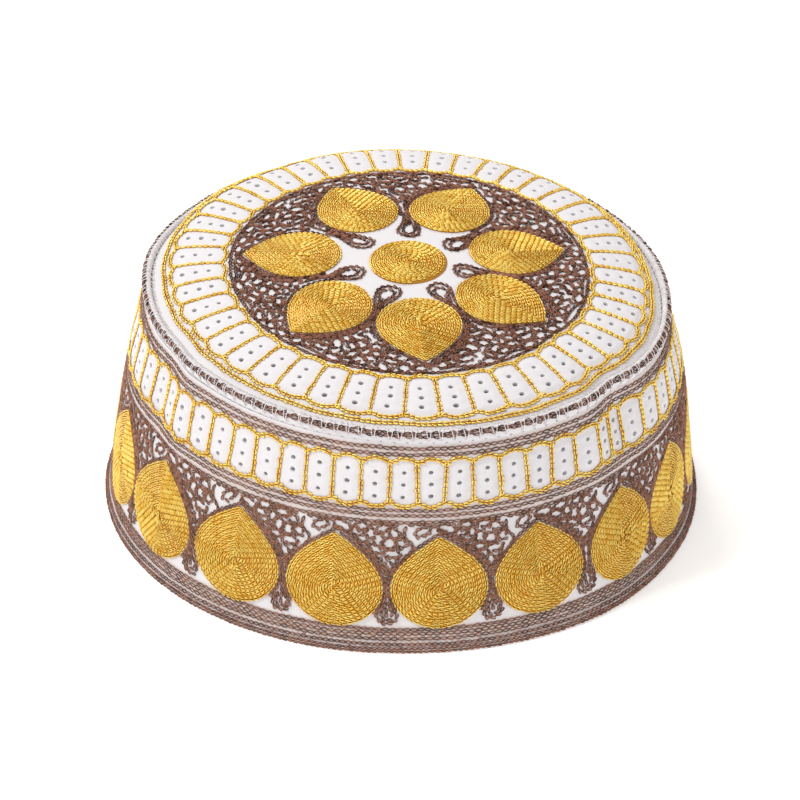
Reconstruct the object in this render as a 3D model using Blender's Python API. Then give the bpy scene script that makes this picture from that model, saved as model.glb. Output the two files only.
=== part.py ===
"""Embroidered prayer cap: a low domed crown oversewn to a flaring side band.

Metres, +Z up. The origin is the middle of the cap's lower edge, and the front of
the cap faces -Y. Angles are in degrees around +Z, counted from +X.
"""
import math

import bmesh
import bpy
from mathutils import Vector

# Overall sizes of the cap
TOP_HEIGHT = 0.0855
RIM_HEIGHT = 0.0750
RIM_RADIUS = 0.0822
CLOTH = 0.0020
SEAM_GAP = 0.0003
AROUND = 74

# Outline of the side wall at four even heights: its radius, how far its middle is
# shifted to the right and to the back, and how far it is stretched from a circle,
# across the cap (oval) and along its diagonal (skew)
LEVEL_STEP = RIM_HEIGHT / 3
LEVELS = (
    {"radius": 0.0943, "right": 0.0004, "back": -0.0003, "oval": 0.0012, "skew": -0.0003},
    {"radius": 0.0912, "right": 0.0008, "back": -0.0007, "oval": 0.0010, "skew": -0.0005},
    {"radius": 0.0877, "right": 0.0015, "back": -0.0010, "oval": 0.0008, "skew": -0.0012},
    {"radius": RIM_RADIUS, "right": 0.0018, "back": -0.0013, "oval": -0.0003, "skew": -0.0020},
)
TOP_TILT = 0.0075

# The crown falls slowly at first and then rolls over into its edge
CROWN_EDGE = 0.0808
DOME_DROP = 0.0065
SHOULDER_DROP = 0.0050
SHOULDER_POWER = 12
CROWN_OVAL = -0.0012
CROWN_RINGS = (0.012, 0.026, 0.040, 0.054, 0.066, 0.074, 0.0785, CROWN_EDGE)

# Heights where the band starts and ends, and the rows in between
HEM_HEIGHT = 0.0080
BAND_LOW = HEM_HEIGHT + SEAM_GAP
BAND_HIGH = 0.0722
BAND_ROWS = 6

# The hem is a double fold with a roll along its lower edge that stands proud of it
HEM_INNER = CLOTH + 0.0004
HEM_ROLL = 0.0012
ROLL_TOP = 0.0036

# The oversewn seam has a foot on the band's edge and a lip that stands above the crown
SEAM_FOOT = 0.0026
SEAM_SHELF = 0.0008
SEAM_LIP = 0.0011
SEAM_TOP = 0.0770

# Soft dents where the cap was folded flat, and the bulges beside them. The angle is
# the middle of each, the depth is inwards, and the widths and heights are half ones
DENTS = (
    {"angle": -45, "half_width": 10, "depth": 0.0013, "height": 0.070, "half_height": 0.020},
    {"angle": -151, "half_width": 12, "depth": 0.0012, "height": 0.056, "half_height": 0.022},
    {"angle": -22, "half_width": 14, "depth": -0.0010, "height": 0.075, "half_height": 0.020},
    {"angle": -47, "half_width": 16, "depth": -0.0011, "height": 0.000, "half_height": 0.022},
    {"angle": -88, "half_width": 14, "depth": 0.0006, "height": 0.000, "half_height": 0.020},
    {"angle": 0, "half_width": 13, "depth": 0.0008, "height": 0.000, "half_height": 0.020},
    {"angle": 166, "half_width": 14, "depth": -0.0010, "height": 0.075, "half_height": 0.020},
    {"angle": 122, "half_width": 10, "depth": 0.0011, "height": 0.078, "half_height": 0.012},
)

# Embroidered pads stand a little proud of the cloth
PAD_LIFT = SEAM_GAP
PAD_THICKNESS = 0.0008
PAD_EDGE = 0.55
PAD_ROWS = 7
PAD_COLUMNS = 6
WIDEST = 0.57

# The round in the middle of the crown was embroidered a little off its centre
DISC_RADIUS = 0.0127
DISC_RIGHT = 0.0010
DISC_FRONT = 0.0004
DISC_RINGS = (0.0045, 0.0090, DISC_RADIUS)
DISC_AROUND = 24

CROWN_PETAL_TIP = 0.0529
CROWN_PETAL_FOOT = 0.0211
CROWN_PETALS = (
    {"angle": -83.6, "width": 0.0263},
    {"angle": -35.1, "width": 0.0254},
    {"angle": 12.8, "width": 0.0266},
    {"angle": 66.0, "width": 0.0260},
    {"angle": 116.4, "width": 0.0255},
    {"angle": 171.4, "width": 0.0264},
    {"angle": 226.2, "width": 0.0270},
)

SIDE_PETAL_TIP = 0.0413
SIDE_PETAL_FOOT = 0.0086
SIDE_PETALS_HIDDEN = 8
# Petals of the band that show, from the left side round the front to the right
SIDE_PETALS = (
    {"tip": -167.6, "foot": -167.4, "width": 0.0303},
    {"tip": -147.6, "foot": -146.9, "width": 0.0321},
    {"tip": -125.0, "foot": -125.3, "width": 0.0322},
    {"tip": -104.0, "foot": -103.5, "width": 0.0311},
    {"tip": -83.1, "foot": -82.7, "width": 0.0306},
    {"tip": -62.9, "foot": -61.8, "width": 0.0303},
    {"tip": -41.9, "foot": -42.4, "width": 0.0273},
    {"tip": -23.3, "foot": -25.0, "width": 0.0279},
    {"tip": -3.2, "foot": -6.1, "width": 0.0280},
)
HIDDEN_WIDTH = 0.0308

WHITE_COTTON = {"colour": (0.83, 0.84, 0.87), "roughness": 0.85}
GOLD_THREAD = {"colour": (0.80, 0.45, 0.05), "roughness": 0.42}
BROWN_THREAD = {"colour": (0.19, 0.10, 0.08), "roughness": 0.55}


def clear_scene():
    """Remove whatever the file was opened with."""
    for item in list(bpy.data.objects):
        bpy.data.objects.remove(item, do_unlink=True)


def thread_material(name, finish):
    """A Principled material in one plain colour."""
    material = bpy.data.materials.new(name)
    material.use_nodes = True
    shader = material.node_tree.nodes["Principled BSDF"]
    shader.inputs["Base Color"].default_value = (*finish["colour"], 1.0)
    shader.inputs["Roughness"].default_value = finish["roughness"]
    shader.inputs["Metallic"].default_value = 0.0
    return material


def angle_between(first, second):
    """Signed difference of two angles in degrees, within half a turn."""
    return (first - second + 180.0) % 360.0 - 180.0


def dent_depth(angle, height):
    """How far the wall is pushed inwards at one angle and height."""
    depth = 0.0
    for dent in DENTS:
        across = angle_between(angle, dent["angle"]) / dent["half_width"]
        upwards = (height - dent["height"]) / dent["half_height"]
        depth += dent["depth"] * math.exp(-across * across - upwards * upwards)
    return depth


def blend(before, start, end, after, part):
    """Catmull-Rom value between start and end, with their neighbours on each side."""
    slope = end - before
    bend = 2 * before - 5 * start + 4 * end - after
    turn = 3 * (start - end) + after - before
    return start + 0.5 * (slope * part + bend * part ** 2 + turn * part ** 3)


def level_value(key, height):
    """One of the outline's values at any height of the wall."""
    values = [level[key] for level in LEVELS]
    values = [2 * values[0] - values[1]] + values + [2 * values[-1] - values[-2]]
    place = min(max(height / LEVEL_STEP, 0.0), len(LEVELS) - 1.001)
    step = int(place)
    return blend(*values[step:step + 4], place - step)


def stretch(angle, height):
    """How far the outline stands out from its circle, dents included."""
    turn = math.radians(angle)
    oval = level_value("oval", height) * math.cos(2 * turn)
    skew = level_value("skew", height) * math.sin(2 * turn)
    return oval + skew - dent_depth(angle, height)


def wall_radius(angle, height):
    """Radius of the cap's outer face at one angle and height."""
    return level_value("radius", height) + stretch(angle, height)


def settle(angle, radius, height):
    """Place a point given by angle, radius and height on the slightly leaning cap."""
    turn = math.radians(angle)
    climb = min(max(height / RIM_HEIGHT, 0.0), 1.0)
    x = level_value("right", height) + radius * math.cos(turn)
    y = level_value("back", height) + radius * math.sin(turn)
    z = height - TOP_TILT * climb * radius * math.cos(turn)
    return Vector((x, y, z))


def wall_point(angle, height, outset):
    """A point on the side wall, moved out from the cloth's face by the outset."""
    step = 0.001
    fall = (level_value("radius", height - step) - level_value("radius", height + step)) / (2 * step)
    slope = math.atan(fall)
    radius = wall_radius(angle, height) + outset * math.cos(slope)
    return settle(angle, radius, height + outset * math.sin(slope))


def dome_height(reach):
    """Height of the crown at one distance from its middle."""
    part = reach / RIM_RADIUS
    return TOP_HEIGHT - DOME_DROP * part ** 2 - SHOULDER_DROP * part ** SHOULDER_POWER


def dome_slope(reach):
    """Angle of the crown's face below level at one distance from its middle."""
    part = reach / RIM_RADIUS
    fall = 2 * DOME_DROP * part + SHOULDER_POWER * SHOULDER_DROP * part ** (SHOULDER_POWER - 1)
    return math.atan(fall / RIM_RADIUS)


def crown_point(angle, reach, outset):
    """A point on the crown, moved up from the cloth's face by the outset."""
    turn = math.radians(angle)
    part = min(reach / CROWN_EDGE, 1.0)
    rim = stretch(angle, RIM_HEIGHT) * part ** 2
    inner = CROWN_OVAL * math.cos(2 * turn) * part * (1.0 - part ** SHOULDER_POWER)
    slope = dome_slope(reach)
    radius = reach + rim + inner + outset * math.sin(slope)
    height = dome_height(reach) + outset * math.cos(slope)
    return settle(angle, radius, height)


def finish_mesh(name, shape, material):
    """Turn a bmesh into a smooth object with one material."""
    bmesh.ops.recalc_face_normals(shape, faces=shape.faces)
    mesh = bpy.data.meshes.new(name)
    shape.to_mesh(mesh)
    shape.free()
    mesh.shade_smooth()
    mesh.set_sharp_from_angle(angle=math.radians(50))
    mesh.materials.append(material)
    piece = bpy.data.objects.new(name, mesh)
    bpy.context.scene.collection.objects.link(piece)
    return piece


def turned_ring(name, section, place, material):
    """Carry a closed section round the cap. Each section point is (outset, height)."""
    shape = bmesh.new()
    loops = []
    for step in range(AROUND):
        angle = 360.0 * step / AROUND
        loops.append([shape.verts.new(place(angle, *point)) for point in section])
    count = len(section)
    for step in range(AROUND):
        here = loops[step]
        there = loops[(step + 1) % AROUND]
        for index in range(count):
            after = (index + 1) % count
            shape.faces.new((here[index], there[index], there[after], here[after]))
    return finish_mesh(name, shape, material)


def place_on_wall(angle, outset, height):
    """A point level with the wall's face at the same height, moved straight out."""
    return settle(angle, wall_radius(angle, height) + outset, height)


def place_on_rim(angle, outset, height):
    """A point of the seam, measured straight out from the rim's middle line."""
    return settle(angle, wall_radius(angle, RIM_HEIGHT) + outset, height)


def make_hem(material):
    """Double turned edge with a thicker roll along the bottom."""
    section = (
        (-HEM_INNER, 0.0),
        (0.0, 0.0),
        (HEM_ROLL, ROLL_TOP * 0.3),
        (HEM_ROLL, ROLL_TOP * 0.7),
        (0.0, ROLL_TOP),
        (0.0, HEM_HEIGHT),
        (-CLOTH, HEM_HEIGHT),
    )
    return turned_ring("hem", section, place_on_wall, material)


def make_side_band(material):
    """The tall side wall, from the hem up to the seam below the crown."""
    heights = [BAND_LOW + (BAND_HIGH - BAND_LOW) * row / BAND_ROWS for row in range(BAND_ROWS + 1)]
    section = [(0.0, height) for height in heights]
    section += [(-CLOTH, height) for height in reversed(heights)]
    return turned_ring("side_band", section, place_on_wall, material)


def make_crown_seam(material):
    """Standing ridge where the crown's edge and the band's edge are whipped together."""
    seat = BAND_HIGH + SEAM_GAP
    shelf = seat + SEAM_SHELF
    inner = CROWN_EDGE + SEAM_GAP - RIM_RADIUS
    section = (
        (-SEAM_FOOT, seat),
        (0.0, seat),
        (SEAM_LIP, shelf),
        (SEAM_LIP, SEAM_TOP - 0.8 * SEAM_LIP),
        (0.5 * SEAM_LIP, SEAM_TOP),
        (0.5 * inner, SEAM_TOP),
        (inner, SEAM_TOP - 0.8 * SEAM_LIP),
        (inner, shelf),
        (-SEAM_FOOT, shelf),
    )
    return turned_ring("crown_seam", section, place_on_rim, material)


def make_crown(material):
    """Round top panel: an upper and a lower face joined along the edge."""
    shape = bmesh.new()
    faces = []
    for outset in (0.0, -CLOTH):
        middle = shape.verts.new(crown_point(0.0, 0.0, outset))
        rings = []
        for reach in CROWN_RINGS:
            angles = [360.0 * step / AROUND for step in range(AROUND)]
            rings.append([shape.verts.new(crown_point(angle, reach, outset)) for angle in angles])
        faces.append((middle, rings))
    for middle, rings in faces:
        for step in range(AROUND):
            after = (step + 1) % AROUND
            shape.faces.new((middle, rings[0][step], rings[0][after]))
            for inner, outer in zip(rings, rings[1:]):
                shape.faces.new((inner[step], outer[step], outer[after], inner[after]))
    upper = faces[0][1][-1]
    lower = faces[1][1][-1]
    for step in range(AROUND):
        after = (step + 1) % AROUND
        shape.faces.new((upper[step], lower[step], lower[after], upper[after]))
    return finish_mesh("crown", shape, material)


def petal_half_width(part):
    """Half width of a petal, as a share of its widest, from tip (0) to foot (1)."""
    if part < WIDEST:
        return 1.0 - (1.0 - part / WIDEST) ** 2
    return math.sqrt(max(1.0 - ((part - WIDEST) / (1.0 - WIDEST)) ** 2, 0.0))


def pad_height(part, across):
    """Height of a stuffed pad above the cloth, lower towards its outline."""
    rim = max(abs(across) ** 4, (2.0 * part - 1.0) ** 6)
    return PAD_LIFT + PAD_THICKNESS * (1.0 - (1.0 - PAD_EDGE) * rim)


def make_petal(name, place, material):
    """A petal pad. Place takes the part from tip to foot, the side share and the outset."""
    shape = bmesh.new()
    parts = [(row + 0.5) / PAD_ROWS for row in range(PAD_ROWS)]
    sides = [2.0 * column / PAD_COLUMNS - 1.0 for column in range(PAD_COLUMNS + 1)]
    layers = []
    for top in (True, False):
        ends = []
        for part in (0.0, 1.0):
            outset = pad_height(part, 1.0) if top else PAD_LIFT
            ends.append(shape.verts.new(place(part, 0.0, outset)))
        rows = []
        for part in parts:
            row = []
            for side in sides:
                outset = pad_height(part, side) if top else PAD_LIFT
                row.append(shape.verts.new(place(part, side * petal_half_width(part), outset)))
            rows.append(row)
        layers.append((ends, rows))
    for ends, rows in layers:
        for column in range(PAD_COLUMNS):
            shape.faces.new((ends[0], rows[0][column], rows[0][column + 1]))
            shape.faces.new((ends[1], rows[-1][column + 1], rows[-1][column]))
            for above, below in zip(rows, rows[1:]):
                shape.faces.new((above[column], below[column], below[column + 1], above[column + 1]))
    outlines = []
    for ends, rows in layers:
        left = [row[0] for row in rows]
        right = [row[-1] for row in reversed(rows)]
        outlines.append([ends[0]] + left + [ends[1]] + right)
    upper, lower = outlines
    for index in range(len(upper)):
        after = (index + 1) % len(upper)
        shape.faces.new((upper[index], lower[index], lower[after], upper[after]))
    return finish_mesh(name, shape, material)


def make_crown_petals(material):
    """Petals around the middle of the crown, with their tips outwards."""
    for number, petal in enumerate(CROWN_PETALS, start=1):

        def place(part, side, outset, petal=petal):
            along = CROWN_PETAL_TIP + (CROWN_PETAL_FOOT - CROWN_PETAL_TIP) * part
            across = side * petal["width"] / 2
            angle = petal["angle"] + math.degrees(math.atan2(across, along))
            return crown_point(angle, math.hypot(along, across), outset)

        make_petal(f"crown_petal_{number}", place, material)


def disc_point(angle, reach, outset):
    """A point on the crown, measured from the middle of the round pad."""
    right = DISC_RIGHT + reach * math.cos(math.radians(angle))
    back = -DISC_FRONT + reach * math.sin(math.radians(angle))
    return crown_point(math.degrees(math.atan2(back, right)), math.hypot(right, back), outset)


def make_centre_disc(material):
    """Round pad in the middle of the crown."""
    shape = bmesh.new()
    layers = []
    for top in (True, False):
        middle_height = PAD_LIFT + PAD_THICKNESS if top else PAD_LIFT
        middle = shape.verts.new(disc_point(0.0, 0.0, middle_height))
        rings = []
        for reach in DISC_RINGS:
            outset = pad_height(0.5, reach / DISC_RADIUS) if top else PAD_LIFT
            angles = [360.0 * step / DISC_AROUND for step in range(DISC_AROUND)]
            rings.append([shape.verts.new(disc_point(angle, reach, outset)) for angle in angles])
        layers.append((middle, rings))
    for middle, rings in layers:
        for step in range(DISC_AROUND):
            after = (step + 1) % DISC_AROUND
            shape.faces.new((middle, rings[0][step], rings[0][after]))
            for inner, outer in zip(rings, rings[1:]):
                shape.faces.new((inner[step], outer[step], outer[after], inner[after]))
    for step in range(DISC_AROUND):
        after = (step + 1) % DISC_AROUND
        upper = layers[0][1][-1]
        lower = layers[1][1][-1]
        shape.faces.new((upper[step], lower[step], lower[after], upper[after]))
    return finish_mesh("centre_disc", shape, material)


def all_side_petals():
    """The petals that show, then the hidden ones spread evenly round the back."""
    petals = list(SIDE_PETALS)
    last = SIDE_PETALS[-1]
    first = SIDE_PETALS[0]
    for number in range(1, SIDE_PETALS_HIDDEN + 1):
        part = number / (SIDE_PETALS_HIDDEN + 1)
        tip = last["tip"] + (first["tip"] + 360.0 - last["tip"]) * part
        foot = last["foot"] + (first["foot"] + 360.0 - last["foot"]) * part
        petals.append({"tip": tip, "foot": foot, "width": HIDDEN_WIDTH})
    return petals


def make_side_petals(material):
    """Petals round the side band, with their tips upwards."""
    for number, petal in enumerate(all_side_petals(), start=1):

        def place(part, side, outset, petal=petal):
            height = SIDE_PETAL_TIP + (SIDE_PETAL_FOOT - SIDE_PETAL_TIP) * part
            middle = petal["tip"] + angle_between(petal["foot"], petal["tip"]) * part
            turn = math.degrees(side * petal["width"] / 2 / level_value("radius", height))
            return wall_point(middle + turn, height, outset)

        make_petal(f"side_petal_{number:02d}", place, material)


def build_cap():
    """Make every piece of the cap."""
    clear_scene()
    cotton = thread_material("white_cotton", WHITE_COTTON)
    gold = thread_material("gold_thread", GOLD_THREAD)
    brown = thread_material("brown_thread", BROWN_THREAD)
    make_hem(brown)
    make_side_band(cotton)
    make_crown_seam(cotton)
    make_crown(cotton)
    make_centre_disc(gold)
    make_crown_petals(gold)
    make_side_petals(gold)


build_cap()
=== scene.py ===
import math

import bmesh
import bpy
import numpy as np
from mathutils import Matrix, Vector


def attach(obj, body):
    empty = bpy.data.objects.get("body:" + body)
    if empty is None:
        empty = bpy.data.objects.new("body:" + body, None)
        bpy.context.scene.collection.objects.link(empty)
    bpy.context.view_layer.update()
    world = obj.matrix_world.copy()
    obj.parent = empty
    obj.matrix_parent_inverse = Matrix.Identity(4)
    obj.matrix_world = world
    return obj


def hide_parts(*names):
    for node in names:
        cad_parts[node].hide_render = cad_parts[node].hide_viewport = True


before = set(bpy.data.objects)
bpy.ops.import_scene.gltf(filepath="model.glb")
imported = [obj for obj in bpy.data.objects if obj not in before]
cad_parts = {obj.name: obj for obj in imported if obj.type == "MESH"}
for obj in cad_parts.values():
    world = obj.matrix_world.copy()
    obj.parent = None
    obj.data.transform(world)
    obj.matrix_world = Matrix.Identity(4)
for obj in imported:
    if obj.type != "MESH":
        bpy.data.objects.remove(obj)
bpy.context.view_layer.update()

# Crown
# The crown is one round of white cotton, slightly domed and rolled over at its edge.
# It is quilted into a ring of long windows, each pierced with three round eyelets.

RIM_HEIGHT = 0.0750
RIM_RADIUS = 0.0822
TOP_HEIGHT = 0.0855
TOP_TILT = 0.0075
CLOTH = 0.0020
CROWN_EDGE = 0.0808
DOME_DROP = 0.0065
SHOULDER_DROP = 0.0050
SHOULDER_POWER = 12
CROWN_OVAL = -0.0012

# The cap's outline at four even heights, as in the solids
LEVEL_STEP = RIM_HEIGHT / 3
LEVELS = {
    "radius": (0.0943, 0.0912, 0.0877, RIM_RADIUS),
    "right": (0.0004, 0.0008, 0.0015, 0.0018),
    "back": (-0.0003, -0.0007, -0.0010, -0.0013),
    "oval": (0.0012, 0.0010, 0.0008, -0.0003),
    "skew": (-0.0003, -0.0005, -0.0012, -0.0020),
}
# Dents of the wall, and bulges below 0: angle, half width, depth, height, half height
DENTS = (
    (-45, 10, 0.0013, 0.070, 0.020), (-48, 5, -0.0013, 0.065, 0.015), (-40, 5, 0.0017, 0.065, 0.015),
    (-151, 12, 0.0012, 0.056, 0.022), (-146, 5, -0.0018, 0.060, 0.014), (-155, 5, 0.0009, 0.060, 0.014),
    (-22, 14, -0.0010, 0.075, 0.020), (-47, 16, -0.0011, 0.000, 0.022), (-88, 14, 0.0006, 0.000, 0.020),
    (0, 13, 0.0008, 0.000, 0.020), (166, 14, -0.0010, 0.075, 0.020), (122, 10, 0.0011, 0.078, 0.012),
)


def angle_between(first, second):
    """Signed difference of angles in degrees, within half a turn."""
    return (np.asarray(first) - second + 180.0) % 360.0 - 180.0


def smooth_step(value):
    """Eases from 0 to 1 with level ends."""
    value = np.clip(value, 0.0, 1.0)
    return value * value * (3.0 - 2.0 * value)


def smooth_between(before, start, end, after, part):
    """A part of the way from start to end, on a smooth curve through all four."""
    bend = 2 * before - 5 * start + 4 * end - after
    turn = 3 * (start - end) + after - before
    return start + 0.5 * ((end - before) * part + bend * part ** 2 + turn * part ** 3)


def level_value(key, height):
    """One of the outline's values at any height, on a smooth curve through the levels."""
    values = LEVELS[key]
    values = np.array((2 * values[0] - values[1], *values, 2 * values[-1] - values[-2]))
    place = np.clip(np.asarray(height, float) / LEVEL_STEP, 0.0, len(LEVELS[key]) - 1.001)
    step = place.astype(int)
    return smooth_between(*(values[step + offset] for offset in range(4)), place - step)


def stretch(angle, height):
    """How far the outline stands out from its circle, dents included."""
    turn = np.radians(angle)
    out = level_value("oval", height) * np.cos(2 * turn) + level_value("skew", height) * np.sin(2 * turn)
    for middle, half_width, depth, level, half_height in DENTS:
        across = angle_between(angle, middle) / half_width
        upwards = (height - level) / half_height
        out = out - depth * np.exp(-across ** 2 - upwards ** 2)
    return out


def settle(angle, radius, height):
    """Points given by angle, radius and height on the slightly leaning cap."""
    turn = np.radians(angle)
    climb = np.clip(height / RIM_HEIGHT, 0.0, 1.0)
    x = level_value("right", height) + radius * np.cos(turn)
    y = level_value("back", height) + radius * np.sin(turn)
    z = height - TOP_TILT * climb * radius * np.cos(turn)
    return np.stack(np.broadcast_arrays(x, y, z), axis=-1)


# Round the back the crown's border puffs up a little
BACK_REACH = 88.0
BACK_EASE = 38.0
BACK_PUFF = 0.0022
BORDER_START = 0.0580
BORDER_RISE = 0.0190
BORDER_FALL = 0.0020


def at_back(angle):
    """1 round the back of the cap, easing to 0 at its sides."""
    return smooth_step((BACK_REACH - np.abs(angle_between(angle, 90.0))) / BACK_EASE)


def crown_point(angle, reach, outset=0.0):
    """Points on the crown, moved up from the cloth's face by the outset."""
    angle, reach = np.broadcast_arrays(np.asarray(angle, float), np.asarray(reach, float))
    share = np.minimum(reach / CROWN_EDGE, 1.0)
    rim = stretch(angle, RIM_HEIGHT) * share ** 2
    inner = CROWN_OVAL * np.cos(2 * np.radians(angle)) * share * (1.0 - share ** SHOULDER_POWER)
    part = reach / RIM_RADIUS
    height = TOP_HEIGHT - DOME_DROP * part ** 2 - SHOULDER_DROP * part ** SHOULDER_POWER
    fall = 2 * DOME_DROP * part + SHOULDER_POWER * SHOULDER_DROP * part ** (SHOULDER_POWER - 1)
    slope = np.arctan(fall / RIM_RADIUS)
    puff = smooth_step((reach - BORDER_START) / BORDER_RISE) * smooth_step((CROWN_EDGE - reach) / BORDER_FALL)
    height = height + BACK_PUFF * puff * at_back(angle)
    return settle(angle, reach + rim + inner + outset * np.sin(slope), height + outset * np.cos(slope))


# How far the embroidery lies off the crown's centre: reach, rightwards, backwards, oval
SEWN_OFF = np.array((
    (0.0000, 0.0010, -0.0004, 0.0000),
    (0.0150, 0.0005, -0.0002, 0.0000),
    (0.0240, 0.0000, 0.0000, 0.0000),
    (0.0460, 0.0000, 0.0000, 0.0000),
    (0.0570, 0.0009, 0.0003, -0.0004),
    (0.0775, 0.0006, 0.0013, -0.0007),
    (0.0790, 0.0005, 0.0012, -0.0006),
    (CROWN_EDGE, 0.0000, 0.0000, 0.0000),
)).T


def sewn_point(angle, reach, outset=0.0):
    """Points on the crown as its embroidery was laid out, a little off its centre."""
    angle, reach = np.broadcast_arrays(np.asarray(angle, float), np.asarray(reach, float))
    right, back, oval = (np.interp(reach, SEWN_OFF[0], values) for values in SEWN_OFF[1:])
    turn = np.radians(angle)
    drawn = reach + oval * np.cos(2 * turn)
    x = right + drawn * np.cos(turn)
    y = back + drawn * np.sin(turn)
    return crown_point(np.degrees(np.arctan2(y, x)), np.hypot(x, y), outset)


def add_to_scene(name, data):
    """A new object at the origin of the scene."""
    piece = bpy.data.objects.new(name, data)
    bpy.context.scene.collection.objects.link(piece)
    return piece


def keep_on_points(mesh, name, values):
    """Keep a number, or a direction, with every point of a mesh."""
    kind, key = ("FLOAT_VECTOR", "vector") if values.ndim > 1 else ("FLOAT", "value")
    mesh.attributes.new(name, kind, "POINT").data.foreach_set(key, values.ravel())


def read(items, name, kind=np.float32, width=1):
    """The values that a mesh's items have under a name, one row for each item."""
    values = np.empty(len(items) * width, kind)
    items.foreach_get(name, values)
    return values.reshape(-1, width) if width > 1 else values


def ring_faces(before, after):
    """Four-sided faces that join two closed rings of as many corners."""
    pairs = enumerate([*range(1, len(before)), 0])
    return [(before[here], before[beside], after[beside], after[here]) for here, beside in pairs]


WINDOW_COLUMNS = 10
SIDE_ROWS = 4
CROWDING = 0.45
PUFF = 0.00055
PUFF_MARGIN = 0.0009
PUFF_SOFT = 0.0017
CORNER_ROUND = PUFF_SOFT * 1.5
DIMPLE = 0.00030
DIMPLE_RADIUS = 0.0013
EYELET_PITCH = 0.00405
EYELET_WIDE = 0.00082
EYELET_HIGH = 0.00072
EYELET_DEPTH = 0.0014
EYELET_STRAY = 0.00016
EYELET_SIZES = (0.88, 1.12)
# Rings of corners round an eyelet: share of the way to its edge, and share of its depth
EYELET_RINGS = ((0.45, 0.0), (0.78, 0.0), (1.0, 0.0), (1.02, 0.5), (1.06, 1.0))
SHARP_BEND = 50.0


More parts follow.
